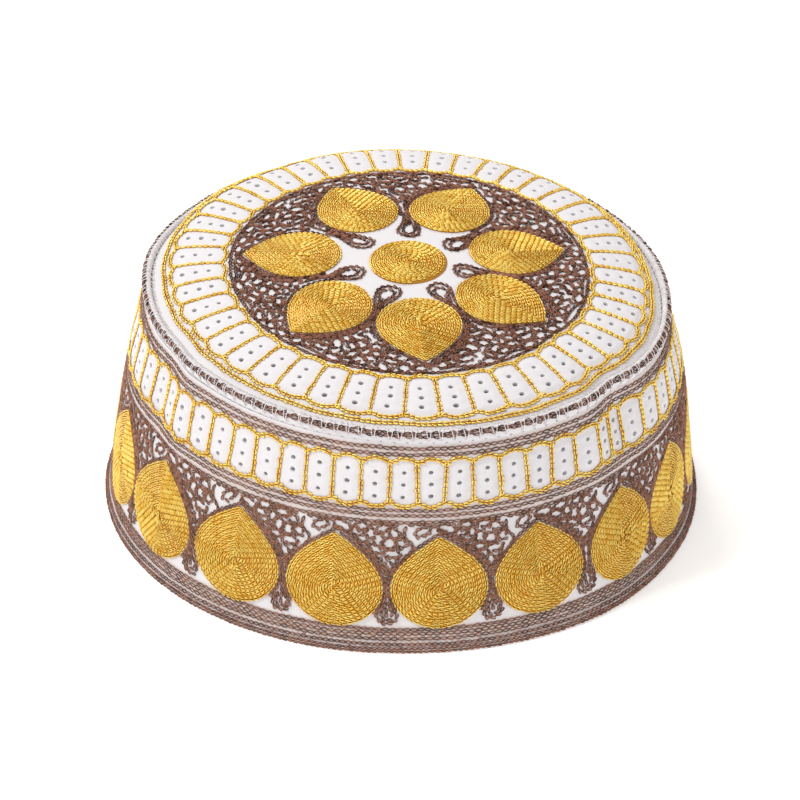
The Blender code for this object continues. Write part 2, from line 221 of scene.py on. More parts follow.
class PiercedSheet:
    """A round sheet of quilted cloth, laid out by angle and by a second measure.

    The edges are the angles of the gold bars between its windows, the eyelets are the
    places of the three holes in each window, and the radius is the sheet's at its windows.
    """

    def __init__(self, edges, eyelets, radius, seed):
        self.edges = np.asarray(edges, float)
        self.eyelets = eyelets
        self.per_degree = math.radians(1.0) * radius
        self.chance = np.random.default_rng(seed)
        even = np.linspace(0.0, 1.0, WINDOW_COLUMNS + 1)
        crowded = 0.5 - 0.5 * np.cos(np.pi * even)
        self.shares = (1.0 - CROWDING) * even + CROWDING * crowded
        self.columns = (len(self.edges) - 1) * WINDOW_COLUMNS
        self.levels = []
        self.spots = []
        self.sunk = []
        self.known = {}
        self.faces = []

    def column_angle(self, column):
        window, step = divmod(column, WINDOW_COLUMNS)
        turns, window = divmod(window, len(self.edges) - 1)
        start, end = self.edges[window:window + 2]
        return start + (end - start) * self.shares[step] + 360.0 * turns

    def add_spot(self, spot, sunk=0.0):
        self.spots.append(tuple(spot))
        self.sunk.append(sunk)
        return len(self.spots) - 1

    def corner(self, column, level):
        key = (column % self.columns, level)
        if key not in self.known:
            self.known[key] = self.add_spot((self.column_angle(key[0]), self.levels[level]))
        return self.known[key]

    def corners_at(self, level):
        return [self.corner(column, level) for column in range(self.columns)]

    def add_plain(self, measures):
        """Rows of plain faces, from the last level through each further measure."""
        for measure in measures:
            self.levels.append(measure)
            level = len(self.levels) - 1
            if level > 0:
                self.faces += ring_faces(self.corners_at(level - 1), self.corners_at(level))

    def add_eyelets(self, middle):
        """One row of faces with a hole in each window, EYELET_PITCH deep."""
        low = len(self.levels) - 1
        high = low + SIDE_ROWS
        start = self.levels[low]
        self.levels.extend(start + EYELET_PITCH * row / SIDE_ROWS for row in range(1, SIDE_ROWS + 1))
        for window in range(len(self.edges) - 1):
            left = window * WINDOW_COLUMNS
            right = left + WINDOW_COLUMNS
            rim = [(column, low) for column in range(left, right)]
            rim += [(right, level) for level in range(low, high)]
            rim += [(column, high) for column in range(right, left, -1)]
            rim += [(left, level) for level in range(high, low, -1)]
            before = [self.corner(*place) for place in rim]
            places = np.array([(self.column_angle(column), self.levels[level]) for column, level in rim])
            stray = self.chance.normal(0.0, EYELET_STRAY, 2) / (self.per_degree, 1.0)
            centre = np.array([0.5 * (self.edges[window] + self.edges[window + 1]), middle]) + stray
            away = (places - centre) * (self.per_degree, 1.0)
            around = np.arctan2(away[:, 1], away[:, 0])
            hole = np.stack([np.cos(around) * EYELET_WIDE / self.per_degree,
                             np.sin(around) * EYELET_HIGH], axis=1)
            hole = centre + hole * self.chance.uniform(*EYELET_SIZES)
            for share, depth in EYELET_RINGS:
                ring = places + (hole - places) * share
                after = [self.add_spot(spot, depth * EYELET_DEPTH) for spot in ring]
                self.faces += ring_faces(before, after)
                before = after
            bottom = self.add_spot(centre, EYELET_DEPTH)
            self.faces += [(here, beside, bottom) for here, beside in zip(before, before[1:] + before[:1])]

    def relief(self, angles, measures, low, high):
        """How far the stuffed windows stand out of the cloth between two measures."""
        place = (angles - self.edges[0]) % 360.0 + self.edges[0]
        window = np.clip(np.searchsorted(self.edges, place, side="right") - 1, 0, len(self.edges) - 2)
        start = self.edges[window]
        end = self.edges[window + 1]
        from_side = np.minimum(place - start, end - place) * self.per_degree
        from_end = np.minimum(measures - low, high - measures)
        corner = np.hypot(np.maximum(CORNER_ROUND - from_side, 0), np.maximum(CORNER_ROUND - from_end, 0))
        inside = np.minimum(np.minimum(from_side, from_end), CORNER_ROUND - corner)
        height = PUFF * smooth_step((inside - PUFF_MARGIN) / PUFF_SOFT)
        across = (place - 0.5 * (start + end)) * self.per_degree
        for eyelet in self.eyelets:
            far = (across ** 2 + (measures - eyelet) ** 2) / DIMPLE_RADIUS ** 2
            height = height - DIMPLE * np.exp(-far) * (height > 0)
        return height

    def build(self, name, place, ends, before, after, inside, pole=False):
        """The sheet as an object with both faces of its cloth, and a map for the weave.

        Its outer face has rows before and after the eyelets, and its inner face the rows
        inside. A pole closes the middle of a round, and its faces are turned over.
        """
        self.add_plain((*before, self.eyelets[0] - EYELET_PITCH / 2))
        for eyelet in self.eyelets:
            self.add_eyelets(eyelet)
        self.add_plain(after)
        rows = [self.corners_at(len(self.levels) - 1)]
        for measure in inside:
            rows.append([self.add_spot((self.column_angle(column), measure), CLOTH)
                         for column in range(self.columns)])
        first = self.corners_at(0)
        if pole:
            outer_pole = self.add_spot((0.0, 0.0))
            inner_pole = self.add_spot((0.0, 0.0), CLOTH)
            for column in range(self.columns):
                self.faces.append((first[column], first[column - 1], outer_pole))
                self.faces.append((rows[-1][column - 1], rows[-1][column], inner_pole))
        else:
            rows.append(first)
        for lower, upper in zip(rows, rows[1:]):
            self.faces += ring_faces(lower, upper)
        spots = np.array(self.spots)
        sunk = np.array(self.sunk)
        outset = self.relief(spots[:, 0], spots[:, 1], *ends) * (sunk < CLOTH) - sunk
        points = [tuple(point) for point in place(spots[:, 0], spots[:, 1], outset)]
        mesh = bpy.data.meshes.new(name)
        mesh.from_pydata(points, [], [face[::-1] for face in self.faces] if pole else self.faces)
        corners = read(mesh.loops, "vertex_index", np.int32)
        angles = spots[corners, 0]
        starts = read(mesh.polygons, "loop_start", np.int32)
        sizes = read(mesh.polygons, "loop_total", np.int32)
        wraps = np.repeat(np.maximum.reduceat(angles, starts), sizes) - angles > 180.0
        along = (angles + 360.0 * wraps) * self.per_degree
        weave = mesh.uv_layers.new(name="weave")
        weave.data.foreach_set("uv", np.stack([along, spots[corners, 1]], axis=1).ravel())
        # How deep each point lies in an eyelet; the cotton paints shade down the holes by it
        keep_on_points(mesh, "hole", np.where(sunk < CLOTH, sunk / EYELET_DEPTH, 0.0))
        mesh.shade_smooth()
        mesh.set_sharp_from_angle(angle=math.radians(SHARP_BEND))
        return add_to_scene(name, mesh)


class Wire:
    """A value in a node tree. Sums and products of wires add their Math nodes."""

    def __init__(self, bench, socket):
        self.bench = bench
        self.socket = socket

    def __add__(self, other):
        return self.bench.math("ADD", self, other)

    def __radd__(self, other):
        return self.bench.math("ADD", other, self)

    def __sub__(self, other):
        return self.bench.math("SUBTRACT", self, other)

    def __rsub__(self, other):
        return self.bench.math("SUBTRACT", other, self)

    def __mul__(self, other):
        return self.bench.math("MULTIPLY", self, other)

    def __rmul__(self, other):
        return self.bench.math("MULTIPLY", other, self)

    def __pow__(self, other):
        return self.bench.math("POWER", self, other)

    def sine(self):
        return self.bench.math("SINE", self, 0.0)

    def size(self):
        return self.bench.math("ABSOLUTE", self, 0.0)

    def part(self):
        return self.bench.math("FRACT", self, 0.0)


class Bench:
    """A node tree being built. One method adds any node, and others call it for the usual ones."""

    def __init__(self, tree):
        self.tree = tree

    def add(self, kind, settings=None, values=None, output=0):
        node = self.tree.nodes.new(kind)
        for name, setting in (settings or {}).items():
            if name == "stops":
                self.set_stops(node.color_ramp.elements, setting)
            else:
                setattr(node, name, setting)
        for name, value in (values or {}).items():
            if isinstance(value, Wire):
                self.join(value, node.inputs[name])
            else:
                node.inputs[name].default_value = value
        return Wire(self, node.outputs[output])

    def set_stops(self, elements, stops):
        while len(elements) < len(stops):
            elements.new(0.5)
        for element, (position, colour) in zip(elements, stops):
            element.position = position
            element.color = (*colour, 1.0)

    def join(self, wire, socket):
        self.tree.links.new(wire.socket, socket)

    def output_of(self, wire, output):
        return Wire(self, wire.socket.node.outputs[output])

    def math(self, operation, first, second):
        return self.add("ShaderNodeMath", {"operation": operation}, {0: first, 1: second})

    def mix(self, share, first, second):
        """A colour between two, by a share from 0 to 1."""
        settings = {"data_type": "RGBA", "clamp_factor": True}
        colours = [c if isinstance(c, Wire) else (*c, 1.0) for c in (first, second)]
        return self.add("ShaderNodeMix", settings, {0: share, 6: colours[0], 7: colours[1]}, output=2)

    def place(self):
        """The place on the object itself."""
        return self.add("ShaderNodeTexCoord", output=3)

    def noise(self, scale, detail=2.0):
        values = {"Vector": self.place(), "Scale": scale, "Detail": detail}
        return self.add("ShaderNodeTexNoise", values=values)

    def spread(self, value, low, high, start, end):
        """A value between low and high, carried over to between start and end."""
        return self.add("ShaderNodeMapRange", values={0: value, 1: low, 2: high, 3: start, 4: end})

    def bump(self, height, strength, distance, normal=None):
        values = {"Height": height, "Strength": strength, "Distance": distance}
        if normal is not None:
            values["Normal"] = normal
        return self.add("ShaderNodeBump", values=values)


def surface_material(name, roughness, sheen=0.0, specular=0.5, lustre=0.0, glow=0.0):
    """A new material, its bench and its shader, with the even values set on the sockets."""
    material = bpy.data.materials.new(name)
    material.use_nodes = True
    shader = material.node_tree.nodes["Principled BSDF"]
    values = {"Roughness": roughness, "Sheen Weight": sheen, "Sheen Roughness": 0.5, "Metallic": lustre,
              "Specular IOR Level": specular, "Emission Strength": glow}
    for socket, value in values.items():
        shader.inputs[socket].default_value = value
    return material, Bench(material.node_tree), shader


COTTON = (0.72, 0.69, 0.695)
COTTON_SHADE = (0.65, 0.62, 0.63)
COTTON_WORN = (0.71, 0.67, 0.66)
# Painted warm reflected light and shade from the brown rows, and how strongly and softly it is laid on
COTTON_PAINTED_BOUNCE = (0.60, 0.47, 0.41)
PAINTED_BOUNCE_SHARE = 0.55
PAINTED_BOUNCE_EASE = 0.0008
THREAD_PITCH = 0.00042


def cotton_material(name, from_map, hole_painted_shade, painted_bounce_zones=()):
    """Close plain weave, on the sheet's own map or straight across a round.

    It has painted warm reflected light and shade, from the brown rows, at the middle heights and reaches
    given, where those rows lie close.
    """
    material, bench, shader = surface_material(name, roughness=0.82, sheen=0.25, specular=0.3)
    place = bench.place()
    weave = bench.add("ShaderNodeUVMap", {"uv_map": "weave"}) if from_map else place
    across = bench.add("ShaderNodeSeparateXYZ", values={0: weave})
    along = bench.output_of(across, 1)
    slub = bench.noise(scale=900.0)
    folds = bench.noise(scale=70.0, detail=3.0)
    stains = bench.noise(scale=24.0, detail=4.0)
    beat = math.pi / THREAD_PITCH
    cross = ((across * beat).sine() * (along * beat).sine()) * 0.5 + 0.5
    threads = bench.bump(cross * 0.6 + slub * 0.5, strength=0.35, distance=0.0001)
    bench.join(bench.bump(folds, strength=0.45, distance=0.0012, normal=threads), shader.inputs["Normal"])
    colour = bench.mix(cross * 0.5 + slub * 0.25, COTTON_SHADE, COTTON)
    worn = bench.spread(stains, low=0.55, high=0.80, start=0.0, end=0.35)
    colour = bench.mix(worn, colour, COTTON_WORN)
    level = bench.output_of(bench.add("ShaderNodeSeparateXYZ", values={0: place}), 2)
    # Painted warm reflected light and shade from the brown rows, round each given height
    for middle, reach in painted_bounce_zones:
        zone = bench.spread((level - middle).size(), reach, reach + PAINTED_BOUNCE_EASE, PAINTED_BOUNCE_SHARE, 0.0)
        colour = bench.mix(zone, colour, COTTON_PAINTED_BOUNCE)
    # Painted shade down each eyelet, darkest at its bottom
    hole = bench.add("ShaderNodeAttribute", {"attribute_name": "hole"}, output=2)
    bench.join(bench.mix(hole, colour, hole_painted_shade), shader.inputs["Base Color"])
    rough = bench.spread(stains, low=0.3, high=0.7, start=0.76, end=0.9)
    bench.join(rough, shader.inputs["Roughness"])
    return material


def even_windows(knots):
    """Angles of all the bars round a ring, from a few counted ones."""
    counts, angles = zip(*knots)
    return np.interp(np.arange(counts[0], counts[-1] + 1), counts, angles)


# Number and angle of the gold bars that were counted round the crown
CROWN_BARS = even_windows(((0, -192.3), (9, -114.8), (17, -50.9), (23, -5.4), (30, 54.2), (37, 108.1),
                           (45, 167.7)))
CROWN_RING_IN = 0.0596
CROWN_RING_OUT = 0.0766
CROWN_EYELETS = (0.0649, 0.0690, 0.0730)
CROWN_MIDDLE_RADIUS = 0.0687
# Painted shade at the bottom of the crown's eyelets
CROWN_HOLE_PAINTED_SHADE = (0.30, 0.30, 0.31)

crown_sheet = PiercedSheet(CROWN_BARS, CROWN_EYELETS, CROWN_MIDDLE_RADIUS, seed=3)
crown_cloth = crown_sheet.build(
    "crown_cloth", sewn_point, (CROWN_RING_IN, CROWN_RING_OUT),
    before=(0.006, 0.014, 0.022, 0.030, 0.038, 0.046, 0.053, 0.0580, 0.0594, 0.0604, 0.0614),
    after=(0.0758, 0.0768, 0.0778, 0.0787, 0.0795, 0.0801, CROWN_EDGE),
    inside=(CROWN_EDGE, 0.079, 0.076, 0.068, 0.055, 0.035, 0.012), pole=True)
crown_cloth.data.materials.append(cotton_material("crown_cotton", from_map=False, hole_painted_shade=CROWN_HOLE_PAINTED_SHADE))
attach(crown_cloth, "root")
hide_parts("crown")

# Side band
# The side band is a strip of the same cotton, joined end to end and flaring downwards.
# Two soft creases show where the cap was folded. Its windows are pierced like the crown's.

HEM_HEIGHT = 0.0080
BAND_LOW = 0.0083
BAND_HIGH = 0.0728
SLOPE_STEP = 0.001


def wall_point(angle, height, outset=0.0):
    """Points on the side band, moved out from the cloth's face by the outset."""
    angle, height = np.broadcast_arrays(np.asarray(angle, float), np.asarray(height, float))
    fall = level_value("radius", height - SLOPE_STEP) - level_value("radius", height + SLOPE_STEP)
    slope = np.arctan(fall / (2 * SLOPE_STEP))
    radius = level_value("radius", height) + stretch(angle, height) + outset * np.cos(slope)
    return settle(angle, radius, height + outset * np.sin(slope))


ROW_DROP = 0.0002
ROW_DIP = 0.0009
LEVEL_ANGLE = -75.0
DIP_TOP = 0.0745
DIP_TOP_EASE = 0.003
DIP_FOOT_EASE = 0.0095


def sewn_wall(angle, height, outset=0.0):
    """Points on the band as its rings were sewn, which dip a little at both sides."""
    height = np.asarray(height)
    dip = ROW_DIP * np.minimum(1.0 - np.cos(np.radians(np.asarray(angle) - LEVEL_ANGLE)), 1.0)
    share = smooth_step((DIP_TOP - height) / DIP_TOP_EASE) * height / RIM_HEIGHT
    share = share * smooth_step(height / DIP_FOOT_EASE)
    return wall_point(angle, height - (ROW_DROP + dip) * share, outset)


# Number and angle of the gold bars that were counted round the band
BAND_BARS = even_windows(((-12, -165.4), (-8, -141.9), (-4, -117.2), (0, -93.4), (7, -53.3), (8, -46.8),
                          (10, -38.8), (12, -26.5), (14, -14.5), (49, 194.6)))
BAND_RING_LOW = 0.0524
BAND_RING_HIGH = 0.0668
BAND_EYELETS = (0.0551, 0.0591, 0.0632)
BAND_MIDDLE_RADIUS = 0.0860
# Painted shade at the bottom of the band's eyelets, lighter than on the crown
BAND_HOLE_PAINTED_SHADE = (0.58, 0.58, 0.59)
# Middle height and reach of the stretches where brown rows lie close together, which get painted warm
# reflected light and shade on the cotton
PAINTED_BOUNCE_STRETCHES = ((0.0701, 0.0016), (0.0484, 0.0027), (0.0064, 0.0024))

band_sheet = PiercedSheet(BAND_BARS, BAND_EYELETS, BAND_MIDDLE_RADIUS, seed=5)
band_cloth = band_sheet.build(
    "band_cloth", sewn_wall, (BAND_RING_LOW, BAND_RING_HIGH),
    before=(BAND_LOW, 0.012, 0.018, 0.024, 0.030, 0.036, 0.041, 0.045, 0.048, 0.0505, 0.0518),
    after=(0.0662, 0.0674, 0.0690, 0.0706, BAND_HIGH),
    inside=(BAND_HIGH, 0.063, 0.050, 0.036, 0.022, BAND_LOW))
band_cotton = cotton_material("band_cotton", from_map=True, hole_painted_shade=BAND_HOLE_PAINTED_SHADE, painted_bounce_zones=PAINTED_BOUNCE_STRETCHES)
band_cloth.data.materials.append(band_cotton)
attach(band_cloth, "root")
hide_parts("side_band")

# Seam ridge
# The crown's edge and the band's edge are turned up together and oversewn. The pair of
# edges stands as a soft ridge of doubled cotton, pulled into small puckers by the thread.

SEAM_SEAT = 0.0725
SEAM_INNER = CROWN_EDGE + 0.0003 - RIM_RADIUS
SEAM_AROUND = 300
SEAM_CORNERS = 28
# Round the back the seam lies a little lower
BACK_SINK = 0.0013
SINK_EASE = 0.003
PUCKER = 0.00012
PUCKERS = 128
PUCKER_EASE = 0.002
CLOSING_SIDE = 0.001


def rim_point(angle, outset, height):
    """Points of the seam, measured straight out from the rim's middle line."""
    radius = level_value("radius", RIM_HEIGHT) + stretch(angle, RIM_HEIGHT)
    sunk = BACK_SINK * at_back(angle) * smooth_step((height - SEAM_SEAT) / SINK_EASE)
    return settle(angle, radius + outset, height - sunk)


def puckered_rim(angle, outset, height):
    """The rim with the small puckers of the oversewing, on its outer face."""
    share = smooth_step((height - SEAM_SEAT) / PUCKER_EASE) * (outset > 0)
    return rim_point(angle, outset + PUCKER * np.sin(np.radians(angle * PUCKERS)) * share, height)


def closed_curve(corners, count):
    """A smooth closed curve through the corners, as count even steps."""
    corners = np.asarray(corners, float)
    place = np.arange(count) / count * len(corners)
    step = place.astype(int)
    four = (corners[(step + offset - 1) % len(corners)] for offset in range(4))
    return smooth_between(*four, (place - step)[:, None])


def turned_piece(name, section, around, place, closed=True):
    """Carry a section round the cap as a smooth sheet, with a map for the weave."""
    count = len(section)
    points = np.concatenate([place(step * 360.0 / around, section[:, 0], section[:, 1])
                             for step in range(around)])
    lengths = np.concatenate([[0.0], np.cumsum(np.linalg.norm(np.diff(section, axis=0), axis=1))])
    wide = math.radians(360.0 / around) * RIM_RADIUS
    faces = []
    places = []
    for step in range(around):
        here = step * count
        there = (step + 1) % around * count
        left = step * wide
        for index in range(count if closed else count - 1):
            after = (index + 1) % count
            faces.append((here + index, there + index, there + after, here + after))
            far = lengths[after] if after else lengths[-1] + CLOSING_SIDE
            places += [(left, lengths[index]), (left + wide, lengths[index]), (left + wide, far), (left, far)]
    mesh = bpy.data.meshes.new(name)
    mesh.from_pydata([tuple(point) for point in points], [], faces)
    mesh.uv_layers.new(name="weave").data.foreach_set("uv", np.array(places).ravel())
    mesh.shade_smooth()
    mesh.materials.append(band_cotton)
    return add_to_scene(name, mesh)


# The ridge's section, outwards from the rim and upwards
seam_section = closed_curve((
    (0.0001, 0.0724), (0.0006, 0.0729), (0.0010, 0.0738), (0.0011, 0.0752), (0.0009, 0.0764),
    (0.0002, 0.0770), (-0.0006, 0.0769), (SEAM_INNER, 0.0762), (SEAM_INNER, 0.0748), (SEAM_INNER, 0.0736),
    (-0.0018, 0.0733), (-0.0025, 0.0732), (-0.0025, 0.0726), (-0.0014, SEAM_SEAT),
), SEAM_CORNERS)
seam_cloth = turned_piece("seam_ridge_cloth", seam_section, SEAM_AROUND, puckered_rim)
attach(seam_cloth, "root")
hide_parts("crown_seam")

# Hem
# The lower edge is a strip of cotton folded in two, with a rolled edge that the cap
# stands on. Rows of brown chain stitch hold it.

HEM_AROUND = 300
HEM_PLY = 0.0009

# The hem's section, outwards from the wall and upwards, from its inner edge round the roll
hem_section = np.array((
    (-0.0022, 0.0080), (-0.0023, 0.0060), (-0.0024, 0.0035), (-0.0024, 0.0015), (-0.0020, 0.0005),
    (-0.0010, 0.0000), (0.0002, 0.0001), (0.0009, 0.0006), (0.0012, 0.0014), (0.0012, 0.0023),
    (0.0009, 0.0031), (0.0003, 0.0037), (0.0000, 0.0045), (0.0000, 0.0060), (0.0000, HEM_HEIGHT),
))


def level_wall(angle, outset, height):
    """Points level with the band's face at the same height, moved straight out."""
    radius = level_value("radius", height) + stretch(angle, height)
    return settle(angle, radius + outset, height)


hem_cloth = turned_piece("hem_cloth", hem_section, HEM_AROUND, level_wall, closed=False)
ply = hem_cloth.modifiers.new("ply", "SOLIDIFY")
ply.thickness = HEM_PLY
ply.offset = -1.0
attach(hem_cloth, "root")
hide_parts("hem")

# Side petals
# Seventeen drops of golden rayon chain stitch stand round the band, points upwards.
# Each is filled from its outline inwards by rows of chain stitch on a thin laid ground.

GOLD_DEEP = (0.33, 0.120, 0.005)
GOLD_MIDDLE = (0.87, 0.46, 0.030)
GOLD_BRIGHT = (1.0, 0.77, 0.19)
# A pale painted sheen on the thread: full on rows below one height, none above another
PAINTED_SHEEN = (0.66, 0.37, 0.26)
PAINTED_SHEEN_FULL_BELOW = 0.070
PAINTED_SHEEN_NONE_ABOVE = 0.078
# Place along a stitch where its painted highlight peaks, how fast painted shade darkens it from there,
# and the tones where its three colours lie, the deep one in painted shade and the bright one in painted
# highlight
PAINTED_HIGHLIGHT_PEAK = 0.62
PAINTED_SHADE_RATE = 1.6
TONE_STOPS = (0.06, 0.42, 0.86)
TWISTS = 5.0
PLIES = 2.0


def thread_material(name, tones, roughness, lustre, specular, uneven=0.6, painted_sheen_share=0.0):
    """Twisted thread: each stitch has its own shade, with painted shade where it dives in and down its sides,
    and a painted highlight along its crest.
    """
    material, bench, shader = surface_material(name, roughness, specular=specular, lustre=lustre)
    shade = bench.add("ShaderNodeAttribute", {"attribute_name": "shade"}, output=2)
    along = bench.add("ShaderNodeSeparateXYZ", values={0: bench.add("ShaderNodeUVMap", {"uv_map": "thread"})})
    around = bench.output_of(along, 1)
    # Painted shade towards the stitch's ends, where it dives under the cloth and the next stitch
    ends = 1.0 - ((along - PAINTED_HIGHLIGHT_PEAK) * PAINTED_SHADE_RATE).size() ** 2.0
    # Painted highlight along the top of each strand, painted shade down its sides
    painted_crest_light = (((around * 2.0).part() - 0.5) * 2.0).size()
    tone_with_painted_light = (ends * 0.9 + 0.1) * (painted_crest_light * 0.8 + 0.2) * (shade * uneven + (0.95 - uneven / 2))
    colour = bench.add("ShaderNodeValToRGB", {"stops": tuple(zip(TONE_STOPS, tones))}, {0: tone_with_painted_light})
    height = bench.output_of(bench.add("ShaderNodeSeparateXYZ", values={0: bench.place()}), 2)
    # Painted sheen on the lower rows, mottled a little by noise
    painted_sheen_mask = bench.spread(height, PAINTED_SHEEN_NONE_ABOVE, PAINTED_SHEEN_FULL_BELOW, 0.0, painted_sheen_share)
    colour = bench.mix(painted_sheen_mask * (bench.noise(scale=160.0, detail=3.0) + 0.5), colour, PAINTED_SHEEN)
    bench.join(colour, shader.inputs["Base Color"])
    twist = ((along * TWISTS + around * PLIES) * (2.0 * math.pi)).sine() * 0.5 + 0.5
    bench.join(bench.bump(twist, strength=0.30, distance=0.0001), shader.inputs["Normal"])
    rough = bench.spread(shade, 0.0, 1.0, roughness - 0.06, roughness + 0.08)
    bench.join(rough, shader.inputs["Roughness"])
    return material


gold_thread = thread_material("gold_thread_silk", (GOLD_DEEP, GOLD_MIDDLE, GOLD_BRIGHT),
                              roughness=0.33, lustre=0.45, specular=0.40)


def finished_shape(name, shape):
    """A shape outside the scene, with its faces turned outwards."""
    bmesh.ops.recalc_face_normals(shape, faces=shape.faces)
    mesh = bpy.data.meshes.new(name)
    shape.to_mesh(mesh)
    shape.free()
    return bpy.data.objects.new(name, mesh)


# Where a stitch's strands begin and end along it, and their triangular section
LINK_START = -0.12
LINK_END = 1.14
SECTION_TURNS = tuple(math.radians(90.0 + 120.0 * corner) for corner in range(3))


def stitch_link(name, strand, spreads):
    """One chain stitch of unit size: two plump strands that part and meet again.

    It starts at the needle hole, runs one unit along +X and ends under the next stitch.
    The spreads are the strands' distances from the middle at its three sections.
    """
    shape = bmesh.new()
    thread_map = shape.loops.layers.uv.new("thread")
    # Along the stitch, out from its middle line, and up
    middles = ((LINK_START, 0.04, 0.02), (0.16, spreads[0], 0.30), (0.58, spreads[1], 0.56),
               (0.94, spreads[2], 0.60), (LINK_END, 0.02, 0.12))
    for side, lane in ((-1.0, 0.0), (1.0, 0.5)):
        rings = []
        for x, spread, z in middles:
            corners = [(0.0, 0.0)]
            if LINK_START < x < LINK_END:
                corners = [(strand * math.cos(turn), 2.0 * strand * math.sin(turn)) for turn in SECTION_TURNS]
            rings.append([shape.verts.new((x, side * spread + out, z + up)) for out, up in corners])
        for step, (here, there) in enumerate(zip(rings, rings[1:])):
            for corner in range(3):
                after = (corner + 1) % 3
                if len(here) == 1:
                    ring = (here[0], there[corner], there[after])
                    places = ((step, corner + 0.5), (step + 1, corner), (step + 1, corner + 1))
                elif len(there) == 1:
                    ring = (here[corner], there[0], here[after])
                    places = ((step, corner), (step + 1, corner + 0.5), (step, corner + 1))
                else:
                    ring = (here[corner], there[corner], there[after], here[after])
                    places = ((step, corner), (step + 1, corner), (step + 1, corner + 1), (step, corner + 1))
                face = shape.faces.new(ring)
                face.smooth = True
                for loop, (far, turn) in zip(face.loops, places):
                    reached = (middles[far][0] - LINK_START) / (LINK_END - LINK_START)
                    loop[thread_map].uv = (reached, lane + turn / 6.0)
    return finished_shape(name, shape)


packed_link = stitch_link("packed_link", strand=0.20, spreads=(0.16, 0.30, 0.24))
rope_link = stitch_link("rope_link", strand=0.23, spreads=(0.14, 0.28, 0.24))
looped_link = stitch_link("looped_link", strand=0.21, spreads=(0.15, 0.31, 0.26))
open_link = stitch_link("open_link", strand=0.18, spreads=(0.18, 0.36, 0.32))


def new_tree(name, inputs, result):
    """A Geometry Nodes tree's bench, with a wire from each of its named inputs."""
    tree = bpy.data.node_groups.new(name, "GeometryNodeTree")
    for title, kind, value in inputs:
        socket = tree.interface.new_socket(title, in_out="INPUT", socket_type=f"NodeSocket{kind}")
        if value is not None:
            socket.default_value = value
    tree.interface.new_socket(result, in_out="OUTPUT", socket_type="NodeSocketGeometry")
    bench = Bench(tree)
    start = bench.add("NodeGroupInput")
    return bench, [bench.output_of(start, index) for index in range(len(inputs))]


def end_tree(bench, stitches, thread):
    """The finished tree, which gives out its stitches in their thread."""
    result = bench.add("GeometryNodeSetMaterial", values={"Geometry": stitches, "Material": thread})
    bench.join(result, bench.tree.nodes.new("NodeGroupOutput").inputs[0])
    return bench.tree


def by_chance(bench, low, high, seed):
    """A number drawn anew for each stitch."""
    return bench.add("FunctionNodeRandomValue", {"data_type": "FLOAT"}, {2: low, 3: high, "Seed": seed},
                     output=1)


def shape_of(bench, piece):
    """The shape of another object, as it lies in its own mesh."""
    return bench.add("GeometryNodeObjectInfo", {"transform_space": "ORIGINAL"}, {"Object": piece},
                     output="Geometry")


def mark(bench, stitches, name, value):
    """The stitches, with a value kept on each under a name."""
    return bench.add("GeometryNodeStoreNamedAttribute", {"data_type": "FLOAT", "domain": "INSTANCE"},
                     {"Geometry": stitches, "Name": name, "Value": value})


STITCH_INPUTS = (
    ("Rows", "Geometry", None), ("Link", "Object", None), ("Ground", "Object", None),
    ("Thread", "Material", None), ("Pitch", "Float", 0.0019), ("Thickness", "Float", 0.0006),
    ("Sway", "Float", 0.08), ("Seed", "Int", 0),
)
PLUMPNESS = (0.88, 1.12)


def stitching_tree():
    """Stitches one chain link after another along every row that it is given."""
    bench, wires = new_tree("chain stitching", STITCH_INPUTS, "Stitches")
    rows, link, ground, thread, pitch, thickness, sway, seed = wires
    curve = bench.add("GeometryNodeMeshToCurve", values={0: rows})
    curve = bench.add("GeometryNodeResampleCurve", {"mode": "LENGTH"}, {"Curve": curve, "Length": pitch})
    tangent = bench.add("GeometryNodeInputTangent")
    lift = bench.add("GeometryNodeInputNamedAttribute", {"data_type": "FLOAT_VECTOR"}, {"Name": "lift"})
    wide = bench.add("GeometryNodeInputNamedAttribute", {"data_type": "FLOAT"}, {"Name": "wide"})
    along = bench.add("FunctionNodeAlignRotationToVector", {"axis": "X"}, {"Vector": tangent})
    upright = bench.add("FunctionNodeAlignRotationToVector", {"axis": "Z", "pivot_axis": "X"},
                        {"Rotation": along, "Vector": lift})
    swing = bench.add("ShaderNodeCombineXYZ", values={"Z": by_chance(bench, 0.0 - sway, sway, seed)})
    swing = bench.add("FunctionNodeEulerToRotation", values={0: swing})
    turned = bench.add("FunctionNodeRotateRotation", {"rotation_space": "LOCAL"}, {0: upright, 1: swing})
    plump = by_chance(bench, *PLUMPNESS, seed + 1.0)
    size = bench.add("ShaderNodeCombineXYZ", values={0: pitch, 1: wide * plump, 2: thickness * plump})
    stitches = bench.add("GeometryNodeInstanceOnPoints", values={
        "Points": curve, "Instance": shape_of(bench, link), "Rotation": turned, "Scale": size})
    stitches = mark(bench, stitches, "shade", by_chance(bench, 0.0, 1.0, seed + 2.0))
    stitches = mark(bench, stitches, "number", bench.add("GeometryNodeInputIndex") + 1.0)
    stitches = bench.add("GeometryNodeRealizeInstances", values={0: stitches})
    joined = bench.add("GeometryNodeJoinGeometry")
    for part in (shape_of(bench, ground), stitches):
        bench.join(part, joined.socket.node.inputs[0])
    return end_tree(bench, joined, thread)


chain_stitching = stitching_tree()
ON_CLOTH = 0.0001
OUTWARD_STEP = 0.001


